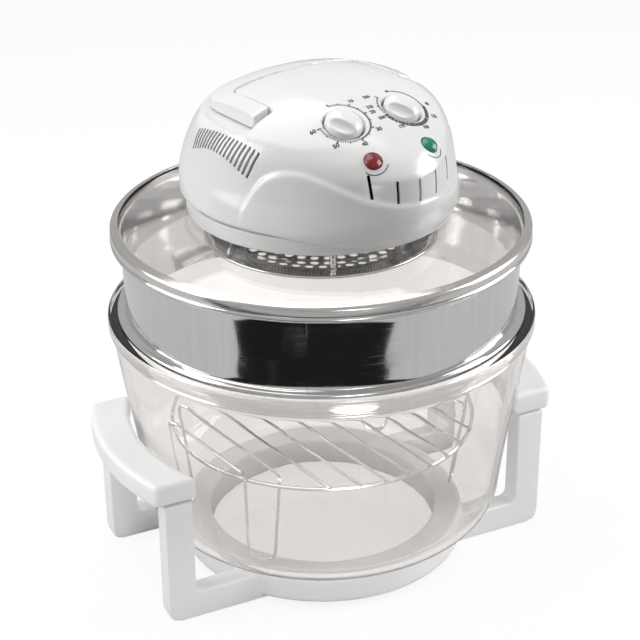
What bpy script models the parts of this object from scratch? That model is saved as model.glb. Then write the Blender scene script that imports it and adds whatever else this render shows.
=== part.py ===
"""Halogen oven: a glass bowl on a stand, a steel extension ring and a glass lid with a fan and lamp head.

Metres, +Z up, +X towards the right grip, -Y towards the front of the stand. The origin is on the
table under the bowl's centre. The head and the rack share one turn about Z against the stand.
"""
import math

import bmesh
import bpy
import numpy as np
from mathutils import Matrix, Vector

# Fits
GAP = 0.0003
RUNNING_GAP = 0.0005
OVERRUN = 0.003
MERGE = 0.00001
ROUND_STEPS = 36
BORE_SIDES = 12
SCREW_SIDES = 8

# Turn of the head and the rack about the oven's axis, against the stand
UPPER_TURN = math.radians(11.3)

# Glass bowl
BOWL_RIM_RADIUS = 0.170
BOWL_HEIGHT = 0.1857
BOWL_RIM_HEIGHT = 0.0120
BOWL_RIM_ROUND = 0.0025
BOWL_RIM_WIDTH = 0.0110
BOWL_RIM_INNER = BOWL_RIM_RADIUS - BOWL_RIM_WIDTH
BOWL_RIM_LIP = 0.0045
BOWL_NECK_RADIUS = BOWL_RIM_RADIUS - BOWL_RIM_LIP
BOWL_TAPER = 0.0180
BOWL_WAIST_RADIUS = BOWL_NECK_RADIUS - BOWL_TAPER
BOWL_WAIST_RISE = 0.0347
BOWL_FOOT_CURVE = 0.0435
BOWL_FOOT_RADIUS = BOWL_WAIST_RADIUS - BOWL_FOOT_CURVE
BOWL_GLASS = 0.0045
BOWL_BULGE_SHARE = 0.06
BOWL_WALL_POINTS = 5
BOWL_CORNER_POINTS = 5

# Stand
BASE_RING_PROUD = 0.0138
BASE_RING_OUTER = BOWL_FOOT_RADIUS + BASE_RING_PROUD
BASE_RING_WIDTH = 0.0238
BASE_RING_INNER = BASE_RING_OUTER - BASE_RING_WIDTH
BASE_RING_BOTTOM = 0.003
BASE_RING_TOP = 0.027
BASE_RING_ROUND = 0.003
FRAME_REACH = 0.0735
FRAME_DEPTH = 0.017
FRAME_BAR = 0.023
FRAME_ROUND = 0.008
FRAME_INNER_ROUND = 0.006
GRIP_UNDERSIDE = 0.107
GRIP_THICKNESS = 0.020
GRIP_TUCK = 0.0075
GRIP_INNER_RADIUS = BOWL_NECK_RADIUS - GRIP_TUCK
GRIP_WIDTH = 0.031
GRIP_OUTER_RADIUS = GRIP_INNER_RADIUS + GRIP_WIDTH
GRIP_END_INSET = 0.0005
GRIP_HALF_SPAN = FRAME_REACH - GRIP_END_INSET
POST_TUCK = 0.013
POST_INNER = GRIP_INNER_RADIUS - POST_TUCK
POST_OUTER = POST_INNER + FRAME_BAR
GRIP_EDGE = 0.005
STAND_SCREW_RADIUS = 0.0019
STAND_SCREW_HEAD_RADIUS = 0.0038
STAND_SCREW_HEAD_HEIGHT = 0.0022
STAND_SCREW_LENGTH = 0.026
STAND_SCREW_BORE = 0.0047
STAND_SCREW_SEAT = 0.015

# Wire rack
RACK_INSET = 0.024
RACK_RADIUS = BOWL_WAIST_RADIUS - RACK_INSET
RACK_RISE = 0.0877
RACK_RING_WIRE = 0.0016
RACK_WIRE = 0.0012
RACK_WIRES = 12
RACK_LOOP_INSET = 0.01185
RACK_PITCH = 2 * (RACK_RADIUS - RACK_LOOP_INSET) / (RACK_WIRES - 1)
RACK_OVERHANG = 0.003
RACK_LEG_OFFSET = 0.0045
RACK_FOOT_INSET = 0.0055
RACK_FOOT_RADIUS = RACK_RADIUS - RACK_FOOT_INSET
RACK_BEND = 0.005
RACK_WELD = 0.0006
RACK_STEPS = 36

# Extension ring
RING_PLAY = 0.0025
RING_BODY_RADIUS = BOWL_RIM_INNER - RING_PLAY
RING_SHEET = 0.0010
RING_SKIRT_DEPTH = 0.0160
RING_BEAD_PROUD = 0.0055
RING_BEAD_RADIUS = RING_BODY_RADIUS + RING_BEAD_PROUD
RING_BEAD_HEIGHT = 0.0034
RING_ROLL_PROUD = 0.0080
RING_ROLL_RADIUS = RING_BODY_RADIUS + RING_ROLL_PROUD
RING_ROLL_HEIGHT = 0.0050
RING_HEIGHT = 0.0662
RING_BODY_TAPER = 0.0010

# Glass lid
LID_INSET = 0.0017
LID_RADIUS = RING_ROLL_RADIUS - LID_INSET
LID_GLASS = 0.0040
LID_BORE = 0.078
LID_FLAT_RADIUS = 0.108
LID_RISE = 0.0180
LID_EDGE_POINTS = 4
BAND_SHEET = 0.0010
BAND_LIP = 0.0050

# Head base, gasket and chassis
GASKET_INNER = 0.084
GASKET_OUTER = 0.100
GASKET_THICKNESS = 0.0012
COLLAR_RADIUS = 0.1042
COLLAR_HEIGHT = 0.0125
COLLAR_ROUND = 0.0010
COLLAR_WALL = 0.0035
COLLAR_FLOOR = 0.0030
SPIGOT_HEIGHT = 0.0030
CHASSIS_RADIUS = 0.0945
CHASSIS_SHEET = 0.0012
LOWER_PLATE_RADIUS = 0.086
CLAMP_RING = 0.0666
CLAMP_BOLT = 0.0020
CLAMP_HEAD = 0.0040
CLAMP_HEAD_HEIGHT = 0.0025
CLAMP_PAST = 0.0040
CLAMP_COUNT = 4

# Heater guard and lamp
GUARD_RADIUS = 0.0895
GUARD_DRUM_RADIUS = 0.0720
GUARD_SHEET = 0.0010
GUARD_DROP = 0.0250
GUARD_LIP = 0.0030
GUARD_HOLE = 0.0030
GUARD_HOLE_SIDES = 6
GUARD_FLOOR_RINGS = ((0.021, 6), (0.042, 8), (0.0802, 12))
GUARD_WALL_HOLES = 8
GUARD_FIRST_HOLE = math.radians(1.7)
GUARD_FLANGE_INNER = 0.0625
LAMP_RING_RADIUS = 0.0560
LAMP_TUBE = 0.0045
LAMP_RISE = 0.0100
LAMP_OPENING = math.radians(52)
LAMP_POINTS = 33
HOLDER_WIDTH = 0.014
HOLDER_DEPTH = 0.012

# Motor, shaft and fans
SHAFT_RADIUS = 0.0030
SHAFT_HOLE = 0.0060
FAN_RADIUS = 0.0430
FAN_HUB = 0.0080
FAN_DISC = 0.0010
FAN_BLADES = 8
FAN_BLADE_HEIGHT = 0.0110
FAN_BLADE_SHEET = 0.0012
FAN_BLADE_LEAN = math.radians(35)
FAN_UNDER_PLATE = 0.0032
SHAFT_BELOW_FAN = 0.0020
MOTOR_RISE = 0.0230
MOTOR_STACK = 0.0180
MOTOR_HALF_WIDTH = 0.0260
MOTOR_REAR = 0.0200
MOTOR_REACH = 0.0400
MOTOR_LEG = 0.0085
MOTOR_WINDOW_HALF = 0.0175
MOTOR_WINDOW_START = 0.0170
ROTOR_RADIUS = 0.0100
COIL_OVERHANG = 0.0050
STRAP_HALF_LENGTH = 0.0240
STRAP_HALF_WIDTH = 0.0070
STRAP_SHEET = 0.0015
STRAP_BOSS = 0.0065
STRAP_BOSS_HEIGHT = 0.0050
MOTOR_POST_RADIUS = 0.0028
MOTOR_POST_PLACE = (0.0195, 0.0130)
COOLING_FAN_RADIUS = 0.0300
COOLING_FAN_ABOVE = 0.0040

# Head cover, in its own directions: side (L), front (F) and height
HEAD_LIFT = 0.0015
HEAD_HEIGHT = 0.1015
HEAD_HALF_WIDTH = 0.1070
HEAD_FRONT_REACH = 0.1175
HEAD_REAR_REACH = 0.1120
HEAD_WALL = 0.0025
HEAD_COLUMNS = 40
HEAD_LOW_ROWS = 3
HEAD_HIGH_ROWS = 7
PROBE_TURN = math.radians(2)
PROBE_RISE = 0.0005
# Height share, side share, front share, rear share, front squareness, rear squareness
HEAD_SECTION_SHARES = (
    (0.000, 0.975, 0.905, 0.930, 1.85, 2.05),
    (0.135, 0.998, 0.965, 0.985, 1.84, 2.05),
    (0.265, 0.985, 0.990, 1.000, 1.75, 2.10),
    (0.400, 0.955, 0.992, 0.970, 1.70, 2.15),
    (0.540, 0.925, 0.980, 0.895, 1.71, 2.20),
    (0.640, 0.905, 0.912, 0.820, 1.80, 2.25),
    (0.740, 0.865, 0.790, 0.745, 1.93, 2.30),
    (0.840, 0.765, 0.630, 0.690, 2.10, 2.30),
    (0.915, 0.620, 0.465, 0.540, 2.25, 2.30),
    (0.975, 0.400, 0.282, 0.340, 2.30, 2.20),
    (1.000, 0.000, 0.000, 0.000, 2.20, 2.20),
)
# Angle from the front as a share of a half turn, height share of the chin's upper edge
CHIN_SHARES = (
    (0.000, 0.365), (0.062, 0.385), (0.115, 0.440), (0.174, 0.528), (0.210, 0.590),
    (0.248, 0.620), (0.289, 0.605), (0.333, 0.500), (0.366, 0.360), (0.392, 0.200), (1.000, 0.200),
)
CHIN_PROUD = 0.0022
CHIN_END_SHARE = 0.40
# Angle from the front as a share of a half turn, height share of the cover's lower edge
HEM_SHARES = ((0.00, 0.040), (0.08, 0.040), (0.20, 0.085), (0.34, 0.150), (1.00, 0.150))

# Knobs in their wells
KNOB_SIDE = 0.0270
KNOB_FRONT = 0.0640
PANEL_TILT = math.radians(26.6)
WELL_RADIUS = 0.0172
WELL_DEPTH = 0.0075
WELL_WALL = 0.0020
WELL_FLOOR = 0.0025
KNOB_RADIUS = 0.0150
KNOB_PROUD = 0.0040
KNOB_LIFT = 0.0010
KNOB_WEB = 0.0032
KNOB_SCOOP_RADIUS = 0.0160
KNOB_SCOOP_DEPTH = 0.0065
KNOB_TOP_ROUND = 0.0030
KNOB_SHAFT_RADIUS = 0.0030
KNOB_SHAFT_LENGTH = 0.0180
UNIT_RADIUS = 0.0165
UNIT_DEPTH = 0.0170
UNIT_BORE_DEPTH = 0.0145

# Indicator lamps
LENS_SIDE = 0.0260
LENS_FRONT = 0.0965
LENS_TILT = math.radians(35.0)
LENS_RADIUS = 0.0068
LENS_PROUD = 0.0024
LENS_DEPTH = 0.0060
BULB_RADIUS = 0.0030
BULB_LENGTH = 0.0080

# Front slots and side vents
FRONT_SLOT_ANGLES = tuple(math.radians(angle) for angle in (-21.7, -11.4, 0.0, 11.4, 21.7))
FRONT_SLOT_WIDTH = 0.0020
FRONT_SLOT_HEIGHT = 0.0170
FRONT_SLOT_LIFT = 0.0012
SLOT_REACH = 0.0120
VENT_COUNT = 10
VENT_START = math.radians(66)
VENT_END = math.radians(124)
VENT_WIDTH = 0.0019
VENT_RISE = 0.0510
VENT_HEIGHT = 0.0185

# Carry handle and its shelf in the cover
SHELF_DROP = 0.0218
PLATFORM_HALF_WIDTH = 0.0595
PLATFORM_REAR = 0.0315
PLATFORM_CORNER = 0.0080
SHELF_FRONT = 0.0225
HANDLE_CLEARANCE = 0.0008
SWING_ALLOWANCE = 0.0001
HANDLE_HALF_WIDTH = 0.0800
HANDLE_REAR = 0.0560
HANDLE_CORNER = 0.0290
HANDLE_HEIGHT = 0.0150
HANDLE_PROUD = 0.0040
HANDLE_PIVOT_FRONT = 0.0110
HANDLE_EDGE = 0.0022
PIN_RADIUS = 0.0022
PIN_HEAD_RADIUS = 0.0040
PIN_HEAD = 0.0015
PIN_REACH = 0.0110

# Safety switch and its plunger
SWITCH_SIDE = 0.0690
SWITCH_FRONT = -0.0120
SWITCH_SIZE = (0.0100, 0.0200, 0.0130)
PLUNGER_RADIUS = 0.0020
PLUNGER_BELOW = 0.0080

# Power inlet at the rear of the head
INLET_RISE = 0.0350
INLET_SIZE = (0.0280, 0.0220, 0.0200)
INLET_CUP_WALL = 0.0020
INLET_CUP_DEPTH = 0.0150
INLET_PIN_RADIUS = 0.0020
INLET_PIN_SPACING = 0.0120
INLET_PIN_LENGTH = 0.0110
INLET_PROUD = 0.0010

# Cover screws, up through the head base into bosses of the cover
BOSS_RADIUS = 0.0045
BOSS_RING = 0.0860
BOSS_ANGLES = tuple(math.radians(angle) for angle in (50, 130, 230, 310))
COVER_SCREW_RADIUS = 0.0016
COVER_SCREW_HEAD = 0.0030
COVER_SCREW_HEAD_HEIGHT = 0.0014
COVER_SCREW_SEAT = 0.0017
COVER_SCREW_LENGTH = 0.0140

# Heights that follow from the sizes above
BOWL_BOTTOM = BASE_RING_TOP + GAP
BOWL_WAIST_HEIGHT = BOWL_BOTTOM + BOWL_WAIST_RISE
BOWL_RIM_TOP = BOWL_BOTTOM + BOWL_HEIGHT
RACK_HEIGHT = BOWL_BOTTOM + RACK_RISE
RING_SKIRT_BOTTOM = BOWL_RIM_TOP - RING_SKIRT_DEPTH
RING_BEAD_BOTTOM = BOWL_RIM_TOP + GAP
RING_TOP = RING_BEAD_BOTTOM + RING_HEIGHT
BAND_BOTTOM = RING_TOP + GAP
LID_EDGE_UNDERSIDE = BAND_BOTTOM + BAND_SHEET + GAP
LID_FLAT_TOP = RING_TOP + LID_RISE
LID_FLAT_UNDERSIDE = LID_FLAT_TOP - LID_GLASS
GASKET_BOTTOM = LID_FLAT_TOP + GAP
COLLAR_BOTTOM = GASKET_BOTTOM + GASKET_THICKNESS + GAP
FLOOR_TOP = COLLAR_BOTTOM + COLLAR_FLOOR
CHASSIS_BOTTOM = FLOOR_TOP + GAP
CHASSIS_TOP = CHASSIS_BOTTOM + CHASSIS_SHEET
LOWER_PLATE_TOP = LID_FLAT_UNDERSIDE - GAP
LOWER_PLATE_BOTTOM = LOWER_PLATE_TOP - CHASSIS_SHEET
GUARD_TOP = LOWER_PLATE_BOTTOM - GAP
GUARD_FLOOR = LID_FLAT_TOP - GUARD_DROP
LAMP_HEIGHT = GUARD_FLOOR + LAMP_RISE
HEAD_BOTTOM = LID_FLAT_TOP + HEAD_LIFT
HEAD_TOP = HEAD_BOTTOM + HEAD_HEIGHT
MOTOR_BOTTOM = HEAD_BOTTOM + MOTOR_RISE
VENT_BOTTOM = HEAD_BOTTOM + VENT_RISE
VENT_TOP = VENT_BOTTOM + VENT_HEIGHT
SHELF_HEIGHT = HEAD_TOP - SHELF_DROP
INLET_HEIGHT = HEAD_BOTTOM + INLET_RISE
HANDLE_BOTTOM = SHELF_HEIGHT + GAP
PIVOT_HEIGHT = HANDLE_BOTTOM + HANDLE_HEIGHT / 2


# Scene, materials and placing

def clear_scene():
    for item in list(bpy.data.objects):
        bpy.data.objects.remove(item, do_unlink=True)


def make_collection(name):
    collection = bpy.data.collections.new(name)
    bpy.context.scene.collection.children.link(collection)
    return collection


clear_scene()
OVEN = make_collection("halogen_oven")
CUTTERS = make_collection("cutters")
UPPER = Matrix.Rotation(UPPER_TURN, 4, "Z")


def material(name, color, roughness, metallic=0.0, transmission=0.0):
    made = bpy.data.materials.new(name)
    made.use_nodes = True
    shader = made.node_tree.nodes["Principled BSDF"]
    shader.inputs["Base Color"].default_value = (*color, 1.0)
    shader.inputs["Roughness"].default_value = roughness
    shader.inputs["Metallic"].default_value = metallic
    shader.inputs["Transmission Weight"].default_value = transmission
    made.diffuse_color = (*color, 1.0)
    return made


WHITE = (0.86, 0.86, 0.85)
STEEL = (0.62, 0.62, 0.63)
SMOKE = (0.66, 0.62, 0.60)
DARK = (0.05, 0.05, 0.05)


def link(item, collection, finish=None):
    for old in list(item.users_collection):
        old.objects.unlink(item)
    collection.objects.link(item)
    if finish is not None:
        item.data.materials.clear()
        item.data.materials.append(finish)
    return item


def mesh_object(name, bm, matrix=None):
    mesh = bpy.data.meshes.new(name)
    bm.to_mesh(mesh)
    bm.free()
    item = bpy.data.objects.new(name, mesh)
    CUTTERS.objects.link(item)
    if matrix is not None:
        item.matrix_world = matrix
    return item


def shade(item, angle=math.radians(32)):
    item.data.shade_smooth()
    item.data.set_sharp_from_angle(angle=angle)


def finish_part(item, finish, smooth=True):
    link(item, OVEN, finish)
    if smooth:
        shade(item)
    return item


# Shapes

def box(name, low, high, matrix=None):
    bm = bmesh.new()
    bmesh.ops.create_cube(bm, size=1.0)
    size = [top - bottom for bottom, top in zip(low, high)]
    centre = [(top + bottom) / 2 for bottom, top in zip(low, high)]
    bmesh.ops.scale(bm, vec=size, verts=bm.verts)
    bmesh.ops.translate(bm, vec=centre, verts=bm.verts)
    return mesh_object(name, bm, matrix)


def add_rod(bm, radius, bottom, top, x=0.0, y=0.0, sides=BORE_SIDES, matrix=None):
    made = bmesh.ops.create_cone(
        bm, cap_ends=True, segments=sides, radius1=radius, radius2=radius, depth=top - bottom)
    bmesh.ops.translate(bm, vec=(x, y, (top + bottom) / 2), verts=made["verts"])
    if matrix is not None:
        bmesh.ops.transform(bm, matrix=matrix, verts=made["verts"])


def rod(name, radius, bottom, top, x=0.0, y=0.0, sides=BORE_SIDES, matrix=None):
    bm = bmesh.new()
    add_rod(bm, radius, bottom, top, x, y, sides)
    return mesh_object(name, bm, matrix)


def add_box(bm, low, high, matrix=None):
    made = bmesh.ops.create_cube(bm, size=1.0)
    size = [top - bottom for bottom, top in zip(low, high)]
    centre = [(top + bottom) / 2 for bottom, top in zip(low, high)]
    bmesh.ops.scale(bm, vec=size, verts=made["verts"])
    bmesh.ops.translate(bm, vec=centre, verts=made["verts"])
    if matrix is not None:
        bmesh.ops.transform(bm, matrix=matrix, verts=made["verts"])


def turned(name, profile, steps=ROUND_STEPS, matrix=None):
    """A turned piece: the closed profile runs down its outer side, and none of it lies on the axis."""
    bm = bmesh.new()
    corners = [bm.verts.new((radius, 0.0, height)) for radius, height in profile]
    for start, end in zip(corners, corners[1:] + corners[:1]):
        if max(start.co.x, end.co.x) > MERGE:
            bm.edges.new((start, end))
    item = mesh_object(name, bm, matrix)
    screw = item.modifiers.new("turn", "SCREW")
    screw.angle = math.tau
    screw.steps = steps
    screw.render_steps = steps
    screw.use_merge_vertices = True
    screw.merge_threshold = MERGE
    return item


def outline_solid(name, points, thickness, matrix=None):
    """A flat outline in XY, thick from z 0 to the thickness, as a mesh."""
    curve = bpy.data.curves.new(name, "CURVE")
    curve.dimensions = "2D"
    curve.fill_mode = "BOTH"
    curve.extrude = thickness / 2
    spline = curve.splines.new("POLY")
    spline.points.add(len(points) - 1)
    for point, (x, y) in zip(spline.points, points):
        point.co = (x, y, 0.0, 1.0)
    spline.use_cyclic_u = True
    drawn = bpy.data.objects.new(name, curve)
    CUTTERS.objects.link(drawn)
    mesh = bpy.data.meshes.new_from_object(drawn.evaluated_get(bpy.context.evaluated_depsgraph_get()))
    bm = bmesh.new()
    bm.from_mesh(mesh)
    bmesh.ops.remove_doubles(bm, verts=bm.verts, dist=MERGE)
    bmesh.ops.translate(bm, vec=(0.0, 0.0, thickness / 2), verts=bm.verts)
    bmesh.ops.recalc_face_normals(bm, faces=bm.faces)
    bpy.data.objects.remove(drawn)
    bpy.data.meshes.remove(mesh)
    return mesh_object(name, bm, matrix)


def wire(name, paths, radius, cyclic=False, resolution=2, matrix=None):
    """Round wires along the given paths, each a body of its own, in one piece."""
    curve = bpy.data.curves.new(name, "CURVE")
    curve.dimensions = "3D"
    curve.bevel_depth = radius
    curve.bevel_resolution = resolution
    curve.use_fill_caps = True
    for path in paths:
        spline = curve.splines.new("POLY")
        spline.points.add(len(path) - 1)
        for point, place_in_path in zip(spline.points, path):
            point.co = (*place_in_path, 1.0)
        spline.use_cyclic_u = cyclic
    item = bpy.data.objects.new(name, curve)
    CUTTERS.objects.link(item)
    if matrix is not None:
        item.matrix_world = matrix
    return item


def rounded(points, radius, steps=4, closed=False):
    """The same path with its corners taken off by arcs of the given radius."""
    points = [Vector(point) for point in points]
    path = []
    count = len(points)
    for index, corner in enumerate(points):
        if not closed and index in (0, count - 1):
            path.append(corner)
            continue
        before = points[index - 1] - corner
        after = points[(index + 1) % count] - corner
        bend = math.pi - before.angle(after)
        if bend < math.radians(1):
            path.append(corner)
            continue
        reach = radius * math.tan(bend / 2)
        reach = min(reach, before.length / 2, after.length / 2)
        start = corner + before.normalized() * reach
        end = corner + after.normalized() * reach
        for step in range(steps + 1):
            share = step / steps
            path.append(start.lerp(corner, share).lerp(corner.lerp(end, share), share))
    return path


def flat_rounded(points, radius, steps=4):
    return [(point.x, point.y) for point in rounded([(x, y, 0.0) for x, y in points], radius, steps, True)]


def boolean(item, tool, operation="DIFFERENCE"):
    tool.hide_render = True
    tool.display_type = "WIRE"
    made = item.modifiers.new(operation.lower(), "BOOLEAN")
    made.operation = operation
    made.object = tool
    made.solver = "EXACT"
    return item


def bevel(item, width, segments=2, angle=math.radians(40)):
    made = item.modifiers.new("edges", "BEVEL")
    made.width = width
    made.segments = segments
    made.limit_method = "ANGLE"
    made.angle_limit = angle
    return item


def bake(item):
    """The piece with its modifiers worked into its mesh."""
    evaluated = item.evaluated_get(bpy.context.evaluated_depsgraph_get())
    mesh = bpy.data.meshes.new_from_object(evaluated)
    item.modifiers.clear()
    item.data = mesh
    return item


def tilted(side, front, height, tilt):
    """A frame whose Z leaves the head's panel at the given place, tilted to the front."""
    return UPPER @ Matrix.Translation((side, -front, height)) @ Matrix.Rotation(tilt, 4, "X")


def screw(name, where, seat, direction, sizes, finish, matrix):
    """A screw whose head lies on the seat and whose shank goes the other way through it."""
    radius, length, head_radius, head_height = sizes
    head = sorted((seat, seat - direction * head_height))
    shank = sorted((seat - direction * head_height / 2, seat + direction * length))
    item = rod(name, head_radius, head[0], head[1], *where, SCREW_SIDES, matrix)
    boolean(item, rod(name + "_shank", radius, shank[0], shank[1], *where, SCREW_SIDES, matrix), "UNION")
    return finish_part(bake(item), finish)


def upper_round(count, radius, first=0.0):
    for index in range(count):
        angle = first + math.tau * index / count
        yield radius * math.sin(angle), -radius * math.cos(angle)


# Stand

def bar_and_post(name, side, face):
    """One bar from the base ring outwards, turned up into its post."""
    inner = (BASE_RING_OUTER + BASE_RING_INNER) / 2
    start = math.sqrt(inner ** 2 - FRAME_REACH ** 2)
    top = GRIP_UNDERSIDE - GAP
    outline = rounded([(start, 0, 0), (POST_OUTER, 0, 0), (POST_OUTER, top, 0)], FRAME_ROUND)
    outline += [Vector((POST_OUTER - FRAME_BAR, top, 0))]
    outline += rounded([(POST_OUTER - FRAME_BAR, top, 0), (POST_OUTER - FRAME_BAR, FRAME_BAR, 0),
                        (start, FRAME_BAR, 0)], FRAME_INNER_ROUND)[1:]
    points = [(side * point.x, point.y) for point in outline]
    upright = Matrix.Translation((0, face, 0)) @ Matrix.Rotation(math.pi / 2, 4, "X")
    return outline_solid(name, points, FRAME_DEPTH, upright)


def stand_screw_places():
    x = POST_OUTER - FRAME_BAR / 2
    y = FRAME_REACH - FRAME_DEPTH / 2
    return [(side * x, end * y) for side in (-1, 1) for end in (-1, 1)]


def make_stand():
    white = material("stand_plastic", WHITE, 0.45)
    mid_top = BASE_RING_TOP
    base = turned("stand_base", [
        (BASE_RING_OUTER - BASE_RING_ROUND, mid_top),
        (BASE_RING_OUTER, mid_top - BASE_RING_ROUND),
        (BASE_RING_OUTER, BASE_RING_BOTTOM + BASE_RING_ROUND),
        (BASE_RING_OUTER - BASE_RING_ROUND, BASE_RING_BOTTOM),
        (BASE_RING_INNER, BASE_RING_BOTTOM),
        (BASE_RING_INNER, mid_top)])
    for index, (side, face) in enumerate((side, face) for side in (1, -1)
                                         for face in (FRAME_REACH, FRAME_DEPTH - FRAME_REACH)):
        boolean(base, bar_and_post(f"bar_{index}", side, face), "UNION")
    bm = bmesh.new()
    seat = GRIP_UNDERSIDE - STAND_SCREW_SEAT
    for x, y in stand_screw_places():
        add_rod(bm, STAND_SCREW_BORE, -OVERRUN, seat, x, y, 12)
    boolean(base, mesh_object("post_bores", bm))
    bm = bmesh.new()
    for x, y in stand_screw_places():
        add_rod(bm, STAND_SCREW_RADIUS + GAP, seat - OVERRUN, GRIP_UNDERSIDE + OVERRUN, x, y, 12)
    boolean(base, mesh_object("post_screw_holes", bm))
    finish_part(bake(base), white)
    for name, side in (("grip_right", 1), ("grip_left", -1)):
        make_grip(name, side, white)
    steel = material("stand_screw_steel", STEEL, 0.35, 1.0)
    sizes = (STAND_SCREW_RADIUS, STAND_SCREW_LENGTH, STAND_SCREW_HEAD_RADIUS, STAND_SCREW_HEAD_HEIGHT)
    names = ("front_left", "rear_left", "front_right", "rear_right")
    for name, where in zip(names, stand_screw_places()):
        screw("grip_screw_" + name, where, seat - GAP, 1, sizes, steel, Matrix())


def make_grip(name, side, finish):
    inner_end = math.asin(GRIP_HALF_SPAN / GRIP_INNER_RADIUS)
    outer_end = math.asin(GRIP_HALF_SPAN / GRIP_OUTER_RADIUS)
    steps = 8
    outer = [(GRIP_OUTER_RADIUS, outer_end * (2 * step / steps - 1)) for step in range(steps + 1)]
    inner = [(GRIP_INNER_RADIUS, inner_end * (1 - 2 * step / steps)) for step in range(steps + 1)]
    points = [(side * radius * math.cos(angle), radius * math.sin(angle)) for radius, angle in outer + inner]
    grip = outline_solid(name, points, GRIP_THICKNESS, Matrix.Translation((0, 0, GRIP_UNDERSIDE)))
    bevel(grip, GRIP_EDGE, 2)
    bake(grip)
    bm = bmesh.new()
    hole_top = GRIP_UNDERSIDE - STAND_SCREW_SEAT + STAND_SCREW_LENGTH + RUNNING_GAP
    for x, y in stand_screw_places():
        if x * side > 0:
            add_rod(bm, STAND_SCREW_RADIUS + GAP, GRIP_UNDERSIDE - OVERRUN, hole_top, x, y, 12)
    boolean(grip, mesh_object(name + "_holes", bm))
    finish_part(bake(grip), finish)


# Glass bowl

def bowl_corner(radius_shift=0.0):
    """The curve from the waist of the bowl down to its foot, for the outside or the inside."""
    points = []
    across = BOWL_WAIST_RADIUS - BOWL_FOOT_RADIUS - radius_shift
    down = BOWL_WAIST_HEIGHT - BOWL_BOTTOM - radius_shift
    for step in range(BOWL_CORNER_POINTS + 1):
        angle = math.pi / 2 * step / BOWL_CORNER_POINTS
        points.append((BOWL_FOOT_RADIUS + across * math.cos(angle),
                       BOWL_WAIST_HEIGHT - down * math.sin(angle)))
    return points


def bowl_floor(radius):
    """Height of the bowl's inner face at a radius near its foot."""
    across = BOWL_WAIST_RADIUS - BOWL_FOOT_RADIUS - BOWL_GLASS
    down = BOWL_WAIST_HEIGHT - BOWL_BOTTOM - BOWL_GLASS
    share = max(0.0, radius - BOWL_FOOT_RADIUS) / across
    return BOWL_WAIST_HEIGHT - down * math.sqrt(1 - share ** 2)


def bowl_wall():
    """The outside of the bowl's wall from its neck down to its waist, slightly curved."""
    neck = BOWL_RIM_TOP - BOWL_RIM_HEIGHT
    points = []
    for step in range(BOWL_WALL_POINTS):
        share = step / BOWL_WALL_POINTS
        radius = BOWL_NECK_RADIUS + (BOWL_WAIST_RADIUS - BOWL_NECK_RADIUS) * share
        sag = BOWL_BULGE_SHARE * (BOWL_NECK_RADIUS - BOWL_WAIST_RADIUS) * math.sin(math.pi * share)
        points.append((radius - sag, neck + (BOWL_WAIST_HEIGHT - neck) * share))
    return points


def make_bowl():
    rim = [
        (BOWL_RIM_RADIUS - BOWL_RIM_ROUND, BOWL_RIM_TOP),
        (BOWL_RIM_RADIUS, BOWL_RIM_TOP - BOWL_RIM_ROUND),
        (BOWL_RIM_RADIUS, BOWL_RIM_TOP - BOWL_RIM_HEIGHT + BOWL_RIM_ROUND),
        (BOWL_RIM_RADIUS - BOWL_RIM_ROUND, BOWL_RIM_TOP - BOWL_RIM_HEIGHT + BOWL_RIM_ROUND / 2)]
    outer = rim + bowl_wall() + bowl_corner() + [(0.0, BOWL_BOTTOM)]
    inner = [(0.0, BOWL_BOTTOM + BOWL_GLASS)] + bowl_corner(BOWL_GLASS)[::-1]
    inner += [(radius - BOWL_GLASS, height) for radius, height in bowl_wall()[::-1]]
    inner += [(BOWL_RIM_INNER, BOWL_RIM_TOP - BOWL_RIM_ROUND / 2),
              (BOWL_RIM_INNER + BOWL_RIM_ROUND / 2, BOWL_RIM_TOP)]
    bowl = turned("glass_bowl", outer + inner)
    finish_part(bake(bowl), material("bowl_glass", SMOKE, 0.05, 0.0, 0.9))


# Wire rack

def as_mesh(item):
    """A wire turned into a closed mesh, ready to be joined or cut."""
    mesh = bpy.data.meshes.new_from_object(item.evaluated_get(bpy.context.evaluated_depsgraph_get()))
    bm = bmesh.new()
    bm.from_mesh(mesh)
    bmesh.ops.remove_doubles(bm, verts=bm.verts, dist=MERGE)
    bmesh.ops.recalc_face_normals(bm, faces=bm.faces)
    name, matrix = item.name, item.matrix_world.copy()
    bpy.data.objects.remove(item)
    bpy.data.meshes.remove(mesh)
    return mesh_object(name, bm, matrix)


def make_rack():
    chrome = material("rack_wire_steel", STEEL, 0.2, 1.0)
    turns = [math.tau * step / RACK_STEPS for step in range(RACK_STEPS)]
    ring = [(RACK_RADIUS * math.cos(turn), RACK_RADIUS * math.sin(turn), RACK_HEIGHT) for turn in turns]
    grid = as_mesh(wire("rack_grid", [ring], RACK_RING_WIRE, True, 1, UPPER))
    level = RACK_HEIGHT + RACK_RING_WIRE + RACK_WIRE
    sides = [RACK_PITCH * (index - (RACK_WIRES - 1) / 2) for index in range(RACK_WIRES)]
    paths = []
    for x in sides[2:-2]:
        reach = math.sqrt(RACK_RADIUS ** 2 - x ** 2) + RACK_OVERHANG
        paths.append([(x, -reach, level - RACK_WELD), (x, reach, level - RACK_WELD)])
    boolean(grid, as_mesh(wire("rack_cross_wires", paths, RACK_WIRE, False, 1, UPPER)), "UNION")
    finish_part(bake(grid), chrome, False)
    for name, outer, inner in (("rack_leg_loop_left", sides[0], sides[1]),
                               ("rack_leg_loop_right", sides[-1], sides[-2])):
        loop = rack_loop(outer, inner, level + GAP)
        finish_part(wire(name, [loop], RACK_WIRE, True, 1, UPPER), chrome, False)


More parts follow.
